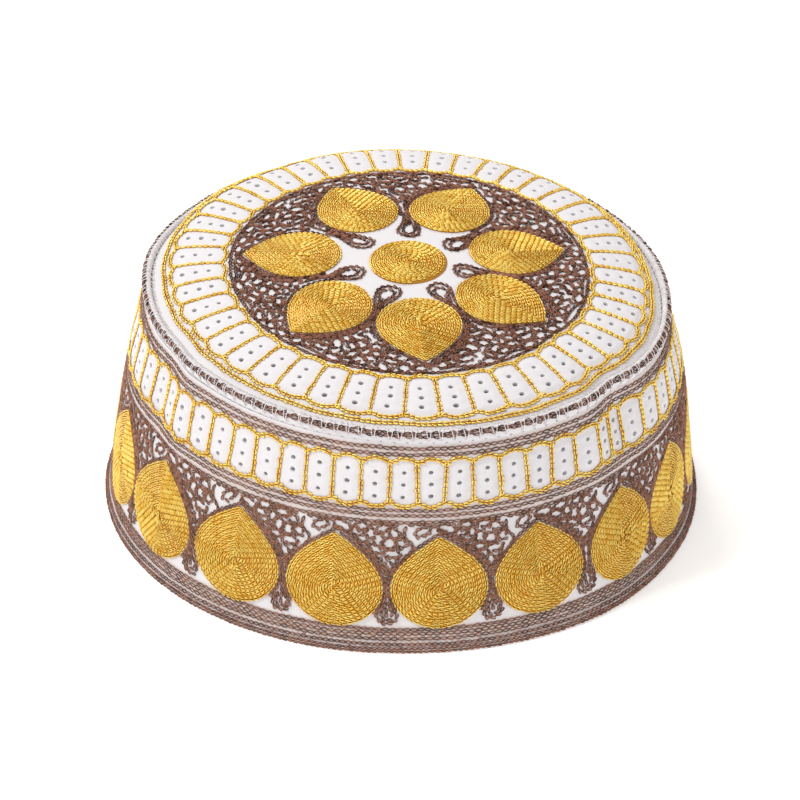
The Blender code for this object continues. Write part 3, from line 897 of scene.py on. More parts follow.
class Rows:
    """Rows of stitches as lines on the cloth, each with its outward directions and width."""

    def __init__(self):
        self.points = []
        self.lifts = []
        self.widths = []
        self.edges = []
        self.count = 0

    def add(self, points, lifts, width, closed=False):
        size = len(points)
        self.points.append(points)
        self.lifts.append(lifts)
        self.widths.append(np.full(size, width))
        self.edges += [(self.count + index, self.count + index + 1) for index in range(size - 1)]
        if closed:
            self.edges.append((self.count + size - 1, self.count))
        self.count += size

    def lay(self, place, first, second, width, outset=ON_CLOTH, closed=False):
        """Add the row that a placing function draws through two measures."""
        points = place(first, second, outset)
        out = place(first, second, outset + OUTWARD_STEP) - points
        self.add(points, out / np.linalg.norm(out, axis=-1, keepdims=True), width, closed)

    def as_object(self, name):
        mesh = bpy.data.meshes.new(name)
        mesh.from_pydata([tuple(point) for point in np.concatenate(self.points)], self.edges, [])
        keep_on_points(mesh, "lift", np.concatenate(self.lifts))
        keep_on_points(mesh, "wide", np.concatenate(self.widths))
        return add_to_scene(name, mesh)


def run_tree(piece, tree, values):
    """Give a piece to a tree with named inputs, and keep the result as its plain mesh."""
    modifier = piece.modifiers.new(tree.name, "NODES")
    modifier.node_group = tree
    for item in tree.interface.items_tree:
        if item.item_type == "SOCKET" and item.in_out == "INPUT" and item.name in values:
            modifier[item.identifier] = values[item.name]
    depsgraph = bpy.context.evaluated_depsgraph_get()
    mesh = bpy.data.meshes.new_from_object(piece.evaluated_get(depsgraph), preserve_all_data_layers=True,
                                           depsgraph=depsgraph)
    mesh.name = piece.name
    piece.modifiers.clear()
    rows = piece.data
    piece.data = mesh
    bpy.data.meshes.remove(rows)
    for name in ("lift", "wide"):
        if name in mesh.attributes:
            mesh.attributes.remove(mesh.attributes[name])
    return piece


CELL_EDGE = 0.08


def lay_bake_map(mesh):
    """Give every stitch a small square of its own on the map that its colours are kept on."""
    corners = read(mesh.loops, "vertex_index", np.int32)
    number = np.round(read(mesh.attributes["number"].data, "value")[corners]).astype(int)
    thread = read(mesh.uv_layers["thread"].data, "uv", width=2)
    spots = read(mesh.vertices, "co", width=3)[corners, :2]
    spread = (spots - spots.min(axis=0)) / np.ptp(spots, axis=0)
    inside = np.where(number[:, None] > 0, thread, spread)
    across = math.ceil(math.sqrt(number.max() + 1))
    cell = np.stack([number % across, number // across], axis=1)
    places = (cell + CELL_EDGE + (1.0 - 2.0 * CELL_EDGE) * inside) / across
    mesh.uv_layers.new(name="OFBake").data.foreach_set("uv", places.astype(np.float32).ravel())
    mesh.attributes.remove(mesh.attributes["number"])


def chain_stitch(name, rows, link, thread, pitch, thickness, seed, ground=None, sway=0.08):
    """Work rows of chain stitch as one piece that rides on the cap."""
    piece = rows.as_object(name)
    run_tree(piece, chain_stitching, {"Link": link, "Ground": ground, "Thread": thread, "Pitch": pitch,
                                      "Thickness": thickness, "Sway": sway, "Seed": seed})
    lay_bake_map(piece.data)
    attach(piece, "root")
    return piece


PETAL_WIDEST = 0.57
GROUND_LOW = 0.00005
GROUND_HIGH = 0.00038
# Tone of the pads under the fills: dark, as painted shade in the gaps between stitches
GROUND_PAINTED_SHADE = 0.04
FILL_ROW = 0.00138
FILL_WIDTH = FILL_ROW * 1.12
FILL_SEAT = GROUND_HIGH - 0.0001
FILL_PITCH = 0.00175
FILL_THICKNESS = 0.00058
FIRST_ROW = 0.45
# The short row in a petal's middle: the room it needs in rows, and its ends in parts of the room
LAST_ROW_ROOM = 0.8
LAST_ROW_ENDS = (-1.8, 1.2)
DRAW_STEP = 0.0005
# Steps that a row round a petal stops short of its beginning
STOP_SHORT = 3


def petal_half_width(part):
    """Half width of a petal as a share of its widest, from tip (0) to foot (1)."""
    upper = 1.0 - (1.0 - part / PETAL_WIDEST) ** 2
    lower = np.sqrt(np.clip(1.0 - ((part - PETAL_WIDEST) / (1.0 - PETAL_WIDEST)) ** 2, 0.0, 1.0))
    return np.where(part < PETAL_WIDEST, upper, lower)


def petal_outline(length, width, steps=26):
    """A petal's outline in its own plane: across, and down from its tip, clockwise from the tip."""
    upper = PETAL_WIDEST * np.linspace(0.0, 1.0, steps)[:-1]
    turn = np.linspace(0.0, np.pi / 2, steps)
    lower = PETAL_WIDEST + (1.0 - PETAL_WIDEST) * np.sin(turn)
    part = np.concatenate([upper, lower])
    half = petal_half_width(part) * width / 2
    right = np.stack([half, part * length], axis=1)
    left = np.stack([-half, part * length], axis=1)[::-1]
    return np.concatenate([right, left[1:-1]])


def scaled_outline(outline, length, share):
    """The outline drawn in or out about the middle of the petal's round end."""
    middle = np.array([0.0, PETAL_WIDEST * length])
    return middle + (outline - middle) * share


def even_steps(line, step, closed=False):
    """The same line with points about a step apart."""
    if closed:
        line = np.vstack([line, line[:1]])
    lengths = np.concatenate([[0.0], np.cumsum(np.linalg.norm(np.diff(line, axis=0), axis=1))])
    count = max(2, int(lengths[-1] / step) + 1)
    at = np.linspace(0.0, lengths[-1], count)
    if closed:
        at = at[:-1]
    return np.stack([np.interp(at, lengths, line[:, axis]) for axis in range(line.shape[1])], axis=1)


def join_rings(shape, rings):
    """A closed body from rings of points, with a face across its first and last."""
    rings = [[shape.verts.new(point) for point in ring] for ring in rings]
    for before, after in zip(rings, rings[1:]):
        for face in ring_faces(before, after):
            shape.faces.new(face)
    shape.faces.new(rings[-1])
    shape.faces.new(rings[0][::-1])


def laid_ground(name, pads):
    """Closed pads of thread under fills, each from rings that run upwards and inwards, coloured dark as
    painted shade between the stitches.
    """
    shape = bmesh.new()
    thread_map = shape.loops.layers.uv.new("thread")
    for place, rings in pads:
        join_rings(shape, [place(ring[:, 0], ring[:, 1], height) for ring, height in rings])
    bmesh.ops.recalc_face_normals(shape, faces=shape.faces)
    bmesh.ops.triangulate(shape, faces=[face for face in shape.faces if len(face.verts) > 4])
    for face in shape.faces:
        for loop in face.loops:
            loop[thread_map].uv = (GROUND_PAINTED_SHADE, 0.0)
    return finished_shape(name, shape)


# Rings of a petal's padding: share of its outline, and height
PAD_RINGS = ((0.985, GROUND_LOW), (0.985, 0.6 * GROUND_HIGH), (0.95, GROUND_HIGH), (0.70, GROUND_HIGH),
             (0.40, GROUND_HIGH))


def petal_ground(place, length, width):
    """The rings of the padding under one petal's fill."""
    outline = petal_outline(length, width, steps=12)
    return place, [(scaled_outline(outline, length, share), height) for share, height in PAD_RINGS]


def fill_petal(rows, place, length, width):
    """Chain rows parallel to a petal's outline, from its edge to its middle."""
    outline = petal_outline(length, width)
    for row in range(int(width / 2 / FILL_ROW)):
        share = 1.0 - (row + FIRST_ROW) * FILL_ROW / (width / 2)
        loop = scaled_outline(outline, length, share)[::-1]
        line = even_steps(np.vstack([loop[-1:], loop]), DRAW_STEP)[:-STOP_SHORT]
        rows.lay(place, line[:, 0], line[:, 1], FILL_WIDTH, FILL_SEAT)
    room = share * width / 2
    if room > LAST_ROW_ROOM * FILL_ROW:
        down = PETAL_WIDEST * length + np.linspace(*LAST_ROW_ENDS, 9) * room
        rows.lay(place, np.zeros_like(down), down, FILL_WIDTH, FILL_SEAT)


def gold_fill(name, rows, pads, seed):
    """Packed rows of gold chain stitch as one piece, over their padding."""
    return chain_stitch(name, rows, packed_link, gold_thread, FILL_PITCH, FILL_THICKNESS, seed=seed,
                        ground=laid_ground(f"{name}_ground", pads))


def gold_petals(name, places, length, widths, seed):
    """All the petals of one kind as one piece."""
    rows = Rows()
    for place, width in zip(places, widths):
        fill_petal(rows, place, length, width)
    pads = [petal_ground(place, length, width) for place, width in zip(places, widths)]
    return gold_fill(name, rows, pads, seed)


SIDE_TIP = 0.0413
SIDE_FOOT = 0.0086
SIDE_LENGTH = SIDE_TIP - SIDE_FOOT
SIDE_HIDDEN = 8
HIDDEN_WIDTH = 0.0308
# The petals that show, from the left side round the front to the right: the angles of
# tip and foot, and the width
SIDE_PETALS = (
    (-167.6, -167.4, 0.0303), (-147.6, -146.9, 0.0321), (-125.0, -125.3, 0.0322),
    (-104.0, -103.5, 0.0311), (-83.1, -82.7, 0.0306), (-62.9, -61.8, 0.0303),
    (-41.9, -42.4, 0.0273), (-23.3, -25.0, 0.0279), (-3.2, -6.1, 0.0280),
)


def hidden_petals():
    """Petals spread evenly round the back, after the last that shows."""
    for number in range(1, SIDE_HIDDEN + 1):
        part = number / (SIDE_HIDDEN + 1)
        tip, foot = (last + (first + 360.0 - last) * part
                     for last, first in zip(SIDE_PETALS[-1][:2], SIDE_PETALS[0][:2]))
        yield tip, foot, HIDDEN_WIDTH


side_petals = [*SIDE_PETALS, *hidden_petals()]


def petal_middle(petal, height):
    """Angle of a side petal's middle line at a height."""
    tip, foot, _ = petal
    return tip + angle_between(foot, tip) * (SIDE_TIP - height) / SIDE_LENGTH


def side_petal_place(petal):
    """A function that lays a petal's own plane on the side band."""
    def place(across, down, outset):
        height = SIDE_TIP - down
        turn = np.degrees(across / level_value("radius", height))
        return wall_point(petal_middle(petal, height) + turn, height, outset)
    return place


side_gold = gold_petals("side_petals_gold", [side_petal_place(petal) for petal in side_petals], SIDE_LENGTH,
                        [width for _, _, width in side_petals], seed=11)
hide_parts(*[f"side_petal_{number:02d}" for number in range(1, len(side_petals) + 1)])

# Crown petals and middle
# Seven more golden drops lie round the crown with their points outwards, and a round
# of spiral chain stitch fills its middle.

CROWN_TIP = 0.0529
CROWN_FOOT = 0.0211
CROWN_LENGTH = CROWN_TIP - CROWN_FOOT
# Angle and width of each petal
CROWN_PETALS = ((-83.6, 0.0263), (-35.1, 0.0254), (12.8, 0.0266), (66.0, 0.0260), (116.4, 0.0255),
                (171.4, 0.0264), (226.2, 0.0270))


def crown_petal_place(middle):
    """A function that lays a petal's own plane on the crown, around an angle."""
    def place(across, down, outset):
        along = CROWN_TIP - down
        angle = middle + np.degrees(np.arctan2(across, along))
        return crown_point(angle, np.hypot(along, across), outset)
    return place


crown_places = [crown_petal_place(angle) for angle, _ in CROWN_PETALS]
crown_widths = [width for _, width in CROWN_PETALS]
crown_gold = gold_petals("crown_petals_gold", crown_places, CROWN_LENGTH, crown_widths, seed=23)
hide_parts(*[f"crown_petal_{number}" for number in range(1, len(CROWN_PETALS) + 1)])

DISC_RADIUS = 0.0127
SPIRAL_START = 0.0003
SPIRAL_END = DISC_RADIUS - 0.0006
DISC_TURNS = SPIRAL_END / FILL_ROW
SPIRAL_POINTS = 600
# Rings of the padding under the middle's fill: reach, and height
DISC_RINGS = ((0.0126, GROUND_LOW), (0.0126, 0.6 * GROUND_HIGH), (0.0121, GROUND_HIGH), (0.006, GROUND_HIGH))

corners = np.arange(0.0, 360.0, 10.0)
disc_pad = [(np.stack([corners, np.full_like(corners, reach)], axis=1), height)
            for reach, height in DISC_RINGS]
rows = Rows()
spiral = np.linspace(1.0, 0.03, SPIRAL_POINTS)
rows.lay(sewn_point, spiral * DISC_TURNS * 360.0, SPIRAL_START + spiral * (SPIRAL_END - SPIRAL_START),
         FILL_WIDTH, FILL_SEAT)
disc_gold = gold_fill("centre_disc_gold", rows, [(sewn_point, disc_pad)], seed=29)
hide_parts("centre_disc")

# Gold window frames
# The windows are bound by gold chain stitch: a bar between each two, and a scalloped
# row along both ends. The crown has one more plain row outside its windows.

BAR_PITCH = 0.0017
BAR_POINTS = 20
BAR_GAP = 0.0006
LINE_THICKNESS = 0.00062
FRAME_SWAY = 0.12
WAVER = 0.00012
WAVER_BEATS = (3, 7, 13, 29)
WAVER_SHARES = (0.2, 0.5)
FULL_TURN = 6.28
chance = np.random.default_rng(41)
ring = np.arange(0.0, 360.0, 0.4)


def to_bar(bars, angle):
    """Degrees from each angle to the nearest bar."""
    return np.abs(angle_between(angle[:, None], bars[None, :-1])).min(axis=1)


def wander(size, seed):
    """A slow hand-made waver round the ring of angles."""
    waves = np.random.default_rng(seed)
    out = 0.0
    for beat in WAVER_BEATS:
        wave = np.sin(np.radians(ring) * beat + waves.uniform(0, FULL_TURN))
        out = out + wave * waves.uniform(*WAVER_SHARES)
    return size * out


def frame_rows(place, bars, ends, lean, widths, scallop, reach, edges, edge_width):
    """Gold bars between the windows, and a scalloped row at the measure of either edge."""
    rows = Rows()
    for bar in bars[:-1]:
        angles = bar + chance.normal(0.0, lean) * np.linspace(-1, 1, BAR_POINTS)
        rows.lay(place, angles, np.linspace(*ends, BAR_POINTS), chance.uniform(*widths))
    scallops = scallop * np.exp(-(to_bar(bars, ring) / reach) ** 2)
    for measure, side in edges:
        line = measure + side * scallops + wander(WAVER, int(measure * 1e5))
        rows.lay(place, ring, line, edge_width, closed=True)
    return rows


rows = frame_rows(sewn_wall, BAND_BARS, (BAND_RING_LOW + BAR_GAP, BAND_RING_HIGH - BAR_PITCH - 0.0002),
                  lean=0.12, widths=(0.00150, 0.00185), scallop=0.0012, reach=1.3,
                  edges=((0.0677, -1.0), (0.0517, 1.0)), edge_width=0.00180)
band_frames = chain_stitch("band_window_frames_gold", rows, rope_link, gold_thread, BAR_PITCH, LINE_THICKNESS,
                           seed=43, sway=FRAME_SWAY)

rows = frame_rows(sewn_point, CROWN_BARS, (CROWN_RING_IN + BAR_GAP, CROWN_RING_OUT - BAR_PITCH - 0.0004),
                  lean=0.15, widths=(0.00145, 0.00180), scallop=0.0010, reach=1.7,
                  edges=((0.0594, 1.0), (0.0768, -1.0)), edge_width=0.00175)
OUTER_REACH = 0.0784
OUTER_SHIFT = 0.0003
OUTER_WAVER = 0.00018
OUTER_WIDTH = 0.00190
line = OUTER_REACH - OUTER_SHIFT * np.sin(np.radians(ring)) + wander(OUTER_WAVER, 47)
rows.lay(sewn_point, ring, line, OUTER_WIDTH, closed=True)
crown_frames = chain_stitch("crown_window_frames_gold", rows, rope_link, gold_thread, BAR_PITCH,
                            LINE_THICKNESS, seed=53, sway=FRAME_SWAY)

# Brown rings of the band and hem
# Rings of brown chain stitch edge the windows and hold the hem. Three more rows, lying
# close, bind its rolled edge.

BROWN_DEEP = (0.012, 0.003, 0.0015)
BROWN_MIDDLE = (0.055, 0.015, 0.006)
BROWN_BRIGHT = (0.33, 0.145, 0.092)
RING_PITCH = 0.0022
RING_THICKNESS = 0.00044
ROLL_PITCH = 0.0018
ROLL_THICKNESS = 0.00055

brown_thread = thread_material("brown_thread_silk", (BROWN_DEEP, BROWN_MIDDLE, BROWN_BRIGHT),
                               roughness=0.40, lustre=0.10, specular=0.10, uneven=0.8, painted_sheen_share=0.18)

# Height and width of each ring, from the seam down to the hem
BAND_RINGS = ((0.0711, 0.00135), (0.0691, 0.00140), (0.0504, 0.00125), (0.0486, 0.00130),
              (0.0463, 0.00130), (0.0081, 0.00135), (0.0064, 0.00165), (0.0047, 0.00130))
rows = Rows()
for number, (height, width) in enumerate(BAND_RINGS):
    rows.lay(sewn_wall, ring, height + wander(WAVER, 60 + number), width, ON_CLOTH / 2, closed=True)
band_rings = chain_stitch("band_rings_brown", rows, open_link, brown_thread, RING_PITCH, RING_THICKNESS,
                          seed=61)


def leaning_out(angles, lean):
    """Directions out of the cap at some angles, tipped up by the lean."""
    turn = np.radians(angles)
    out = np.stack([np.cos(turn), np.sin(turn), np.full_like(turn, lean)], axis=1)
    return out / np.linalg.norm(out, axis=1, keepdims=True)


# Where the rows lie round the roll: outset, height, how far each leans upwards, and width
ROLL_ROWS = ((0.00085, 0.0032, 0.6, 0.00140), (0.00120, 0.0020, 0.0, 0.00140),
             (0.00095, 0.0008, -0.5, 0.00130))
rows = Rows()
for number, (outset, height, lean, width) in enumerate(ROLL_ROWS):
    points = level_wall(ring, outset, height + wander(WAVER / 2, 70 + number))
    rows.add(points, leaning_out(ring, lean), width, closed=True)
hem_roll = chain_stitch("hem_roll_brown", rows, packed_link, brown_thread, ROLL_PITCH, ROLL_THICKNESS,
                        seed=67)

# Brown scrolls of the band
# Brown chain stitch outlines each petal, runs down between two petals as a stem with a
# round foot, and curls into scrolls that leave small spots of bare cotton.

SCROLL_PITCH = 0.00180
SCROLL_WIDTH = 0.00135
SCROLL_THICKNESS = 0.00052
OUTLINE_OFF = 0.00072
SECOND_OFF = 0.00195
TIP_GAP = 0.0310
TIPS_ABOVE = 0.026

# Lines between two petals, in millimetres: across from the stem, and the height
BAND_LINES = {
    "right stalk": ((5.7, 44.6), (5.2, 42.8), (5.4, 41.0), (6.8, 39.4), (7.6, 37.6), (6.8, 35.6), (5.0, 33.0),
                    (3.2, 30.4), (1.7, 27.6)),
    "right fill": ((4.4, 35.8), (3.6, 33.4), (2.4, 31.2), (1.0, 29.2)),
    "middle fill": ((-0.6, 34.2), (1.0, 32.8), (1.7, 30.8)),
    "top left": ((-5.4, 45.4), (-2.0, 45.8), (2.0, 45.4)),
    "top right": ((6.2, 45.5), (9.4, 45.6), (12.4, 45.5)),
    "left fill": ((-10.6, 41.4), (-8.8, 39.8), (-6.6, 39.6)),
    "stem": ((0.0, 27.0), (0.0, 22.0), (0.0, 18.0), (0.0, 14.6)),
    "foot": ((-1.2, 19.0), (-2.0, 16.2), (-2.8, 13.8), (-2.5, 11.6), (-1.1, 10.5), (1.1, 10.5), (2.5, 11.6),
             (2.8, 13.8), (2.0, 16.2), (1.2, 19.0)),
    "foot inside": ((-0.9, 16.4), (-1.5, 14.2), (-1.3, 12.4), (0.0, 11.7), (1.3, 12.4), (1.5, 14.2),
                    (0.9, 16.4)),
}
# Spots of bare cotton that the chain runs round, in millimetres and degrees: across from
# the stem, height, length, breadth, and how far the spot leans
BAND_SPOTS = (
    (-13.2, 43.9, 3.6, 1.3, -28), (-7.6, 44.5, 2.2, 0.7, 0), (-8.9, 42.3, 2.0, 0.5, -30),
    (-1.2, 44.2, 2.6, 0.6, 0), (2.1, 42.7, 3.2, 0.9, -60), (3.9, 39.6, 2.2, 0.8, -75),
    (0.5, 39.3, 1.9, 1.7, 0), (-2.4, 39.8, 2.5, 1.1, 80), (-3.3, 36.8, 2.2, 0.7, -40),
    (1.5, 35.6, 2.8, 0.8, -12), (10.7, 43.1, 3.0, 0.8, 24), (-5.0, 34.9, 2.0, 0.4, -55),
    (-2.4, 32.0, 2.0, 0.5, -58), (-0.8, 28.4, 2.2, 0.8, -78), (-6.9, 37.7, 1.6, 0.4, -50),
    (-4.9, 42.0, 1.5, 0.5, 80),
)
SPOT_EDGE = 0.00080
SPOT_CORNERS = 28
SPOT_LEAST = (0.4, 0.3)
SPOT_SHAKE = (0.22, 0.16, 0.15, 0.07, 8.0)
SHAKE = 0.0002
SPAN_POINTS = 12
hand = np.random.default_rng(73)


def spot_ring(spot):
    """A closed line round a bare spot, a little uneven as sewn by hand."""
    across, up, length, breadth, lean = np.array(spot) + hand.normal(0.0, 1.0, 5) * SPOT_SHAKE
    turn = np.linspace(0.0, 2 * np.pi, SPOT_CORNERS, endpoint=False) + hand.uniform(0.0, FULL_TURN)
    long = np.cos(turn) * (max(length, SPOT_LEAST[0]) / 2000.0 + SPOT_EDGE)
    wide = np.sin(turn) * (max(breadth, SPOT_LEAST[1]) / 2000.0 + SPOT_EDGE)
    lean = math.radians(lean)
    return np.stack([across / 1000.0 + long * math.cos(lean) - wide * math.sin(lean),
                     up / 1000.0 + long * math.sin(lean) + wide * math.cos(lean)], axis=1)


def shaken(corners):
    """Corners in millimetres as metres, each moved a little."""
    return np.array(corners) / 1000.0 + hand.normal(0.0, SHAKE, (len(corners), 2))


def smooth_line(corners, step):
    """A smooth open line through the corners, with points about a step apart."""
    corners = np.asarray(corners, float)
    padded = np.vstack([2 * corners[0] - corners[1], corners, 2 * corners[-1] - corners[-2]])
    part = np.linspace(0.0, 1.0, SPAN_POINTS, endpoint=False)[:, None]
    pieces = [smooth_between(*padded[index:index + 4], part) for index in range(len(corners) - 1)]
    return even_steps(np.concatenate([*pieces, corners[-1:]]), step)


def petal_borders(rows, place, length, width, borders):
    """Brown rows outside a petal's outline: off from it, right of and above two limits."""
    outline = petal_outline(length, width)
    for off, right_of, above in borders:
        line = even_steps(scaled_outline(outline, length, 1.0 + off / (width / 2)), DRAW_STEP, closed=True)
        line = np.roll(line, -int(len(line) / 2), axis=0)
        shown = (line[:, 0] > right_of) & (line[:, 1] < above)
        breaks = np.flatnonzero(np.diff(shown.astype(int)) != 0) + 1
        for run in np.split(np.arange(len(line)), breaks):
            if shown[run[0]] and len(run) > 4:
                rows.lay(place, line[run, 0], line[run, 1], SCROLL_WIDTH)


def scroll_stitch(name, rows, seed, sway):
    """Brown rows worked as one piece of looped chain stitch."""
    return chain_stitch(name, rows, looped_link, brown_thread, SCROLL_PITCH, SCROLL_THICKNESS,
                        seed=seed, sway=sway)


def scroll_rows(place, in_gap, petals, lines, spots):
    """The lines and the rings round bare spots, drawn anew in each gap between two petals."""
    rows = Rows()
    for left, right in zip(petals, petals[1:] + petals[:1]):
        for corners in lines.values():
            rows.lay(place, *in_gap(left, right, smooth_line(shaken(corners), DRAW_STEP)), SCROLL_WIDTH)
        for spot in spots:
            rows.lay(place, *in_gap(left, right, spot_ring(spot)), SCROLL_WIDTH, closed=True)
    return rows


OUTLINE_SWAY = 0.14
SCROLL_SWAY = 0.10
ANYWHERE = -1.0
BAND_BORDERS = ((OUTLINE_OFF, ANYWHERE, SIDE_TIP - 0.0150), (SECOND_OFF, -0.0012, SIDE_TIP - 0.0290))
ordered = sorted(side_petals)
rows = Rows()
for petal in ordered:
    petal_borders(rows, side_petal_place(petal), SIDE_LENGTH, petal[2], BAND_BORDERS)
band_outlines = scroll_stitch("band_outlines_brown", rows, seed=71, sway=OUTLINE_SWAY)


def in_band_gap(petal, after, line):
    """Angles and heights on the band of a line that was drawn between two petals."""
    across, height = line.T
    left = petal_middle(petal, height)
    gap = (petal_middle(after, height) - left) % 360.0
    radius = level_value("radius", height)
    tips = math.radians((after[0] - petal[0]) % 360.0) * radius
    share = np.where(height > TIPS_ABOVE, tips / TIP_GAP, 1.0)
    return left + gap / 2 + np.degrees(across * share / radius), height


rows = scroll_rows(sewn_wall, in_band_gap, ordered, BAND_LINES, BAND_SPOTS)
band_scrolls = scroll_stitch("band_scrolls_brown", rows, seed=79, sway=SCROLL_SWAY)

# Brown scrolls of the crown
# The same brown scrolls fill the round between the crown's petals, inside a double
# ring. Each stem ends in a key-shaped loop that points at the middle.

STEM_ENDS = (-58.2, -14.8, 35.4, 87.8, 141.4, 200.0, 251.5)
CROWN_GAP = 51.43
CROWN_TIPS_ABOVE = 0.036
STRAIGHT_BELOW = 0.020
STRAIGHT_EASE = 0.018
# Lines between two petals, in millimetres: across from the stem, and out from the middle
CROWN_LINES = {
    "key": ((1.2, 31.0), (1.5, 26.4), (2.7, 22.6), (3.4, 19.4), (2.5, 16.4), (0.0, 15.3), (-2.5, 16.4),
            (-3.4, 19.4), (-2.7, 22.6), (-1.5, 26.4), (-1.2, 31.0)),
    "key inside": ((0.4, 26.5), (1.0, 23.0), (1.7, 20.6), (1.6, 18.4), (0.0, 17.1), (-1.6, 18.4),
                   (-1.7, 20.6), (-1.0, 23.0), (-0.4, 26.5)),
    "stem": ((0.0, 37.0), (0.0, 33.0), (0.0, 27.0), (0.0, 24.0)),
    "rim left": ((-21.4, 56.4), (-17.0, 56.0), (-13.0, 56.2), (-9.6, 56.9)),
    "rim middle": ((-2.8, 56.8), (0.0, 56.4), (3.4, 56.0), (7.6, 56.8)),
    "rim right": ((13.6, 57.0), (14.8, 55.8), (14.4, 54.6)),
    "right stalk": ((1.4, 37.4), (2.6, 40.2), (4.4, 42.6), (7.0, 44.2)),
    "right fill": ((8.8, 52.0), (9.0, 50.6), (9.4, 48.4)),
    "middle fill": ((3.6, 52.2), (4.6, 54.4), (7.4, 54.8)),
    "left fill": ((-13.6, 50.0), (-11.0, 48.6), (-9.2, 47.0)),
    "left stalk": ((-1.4, 37.4), (-3.4, 41.6), (-5.4, 44.0)),
}
# Bare spots: across from the stem, out from the middle, length, breadth, lean
CROWN_SPOTS = (
    (-6.1, 56.2, 4.2, 1.1, -10), (-20.4, 54.5, 2.6, 0.7, -40), (-16.2, 53.5, 2.0, 0.8, -25),
    (-11.3, 52.8, 4.4, 1.3, 8), (-10.7, 50.6, 2.6, 0.5, -20), (-15.6, 51.2, 1.6, 0.4, -50),
    (-6.7, 48.9, 2.8, 1.9, 45), (-7.4, 45.7, 2.0, 0.5, -45), (-4.4, 45.6, 1.4, 0.7, 20),
    (-1.7, 48.4, 1.9, 1.3, 20), (0.9, 46.3, 2.6, 1.7, 30), (-0.6, 52.2, 3.6, 0.9, -35),
    (1.8, 54.2, 2.6, 0.8, -30), (-0.3, 43.6, 5.0, 0.6, 6), (-1.5, 40.4, 1.6, 0.8, -20),
    (0.9, 39.0, 1.4, 0.5, -40), (6.1, 52.6, 2.4, 0.7, -5), (3.9, 49.8, 2.2, 0.5, -72),
    (6.8, 50.0, 2.2, 0.7, 35), (6.2, 46.7, 2.2, 1.0, 10), (10.5, 55.8, 3.4, 1.0, 14),
    (12.6, 52.9, 4.0, 0.5, 2), (12.0, 50.2, 2.4, 0.6, 12), (10.2, 45.9, 4.6, 0.4, 38),
    (17.3, 55.6, 2.2, 1.3, 25), (22.4, 55.8, 2.2, 0.9, 10), (18.3, 53.1, 2.6, 0.4, 35),
    (-3.6, 53.8, 1.8, 0.4, 60),
)

CROWN_BORDERS = ((OUTLINE_OFF, ANYWHERE, CROWN_TIP - 0.0262), (SECOND_OFF, -0.0010, CROWN_TIP - 0.0330))
CROWN_OUTER_RING = 0.0579
rows = Rows()
for place, width in zip(crown_places, crown_widths):
    petal_borders(rows, place, CROWN_LENGTH, width, CROWN_BORDERS)
rows.lay(sewn_point, ring, CROWN_OUTER_RING + wander(WAVER, 81), SCROLL_WIDTH, closed=True)
crown_outlines = scroll_stitch("crown_outlines_brown", rows, seed=83, sway=OUTLINE_SWAY)


def in_crown_gap(left, right, line):
    """Angles and reaches on the crown of a line that was drawn between two petals."""
    across, reach = line.T
    gap = (right - left) % 360.0
    middle = left + gap / 2
    offsets = [float(angle_between(end, middle)) for end in STEM_ENDS]
    share = np.where(reach > CROWN_TIPS_ABOVE, gap / CROWN_GAP, 1.0)
    straighten = 1.0 - smooth_step((reach - STRAIGHT_BELOW) / STRAIGHT_EASE)
    return middle + min(offsets, key=abs) * straighten + np.degrees(across * share / reach), reach


crown_order = sorted(angle % 360.0 for angle, _ in CROWN_PETALS)
rows = scroll_rows(sewn_point, in_crown_gap, crown_order, CROWN_LINES, CROWN_SPOTS)
crown_scrolls = scroll_stitch("crown_scrolls_brown", rows, seed=89, sway=SCROLL_SWAY)

# Ridge stitching
# Two rows of brown chain cover the ridge. White cotton thread is whipped over them in
# uneven slanting stitches, and a row of needle pricks shows in the cotton below.

# Outset, height and upward lean of each row
RIDGE_ROWS = ((0.00120, 0.0759, 0.45), (0.00075, 0.0766, 1.00))
RIDGE_WIDTH = 0.00110
RIDGE_WAVER = 0.00010
RIDGE_BULGE = 0.00030
RIDGE_SWAY = 0.2
PRICK_PITCH = 2.8
rows = Rows()
for number, (outset, height, lean) in enumerate(RIDGE_ROWS):
    bulge = RIDGE_BULGE * (1.0 - 2.0 * number) * np.cos(np.radians(ring * 360.0 / PRICK_PITCH))
    points = rim_point(ring, outset, height + wander(RIDGE_WAVER, 90 + number) + bulge)
    rows.add(points, leaning_out(ring, lean), RIDGE_WIDTH, closed=True)
ridge_chain = chain_stitch("ridge_chain_brown", rows, looped_link, brown_thread, ROLL_PITCH, ROLL_THICKNESS,
                           seed=97, sway=RIDGE_SWAY)

STRAND_RADIUS = 0.00013


def strand_tree():
    """Turns every row into a plain round strand."""
    inputs = (("Rows", "Geometry", None), ("Thread", "Material", None), ("Radius", "Float", STRAND_RADIUS))
    bench, (rows, thread, radius) = new_tree("plain strand", inputs, "Strands")
    curve = bench.add("GeometryNodeMeshToCurve", values={0: rows})
    section = bench.add("GeometryNodeCurvePrimitiveCircle", values={"Resolution": 4, "Radius": radius})
    strand = bench.add("GeometryNodeCurveToMesh",
                       values={"Curve": curve, "Profile Curve": section, "Fill Caps": True})
    strand = bench.add("GeometryNodeRealizeInstances", values={0: strand})
    return end_tree(bench, strand, thread)


def mottled_material(name, scale, dark, light, **surface):
    """A plain material that varies a little from spot to spot."""
    material, bench, shader = surface_material(name, **surface)
    bench.join(bench.mix(bench.noise(scale), dark, light), shader.inputs["Base Color"])
    return material


white_thread = mottled_material("white_sewing_thread", 1500.0, (0.68, 0.64, 0.64), (0.80, 0.76, 0.76),
                                roughness=0.6, sheen=0.2, specular=0.4)

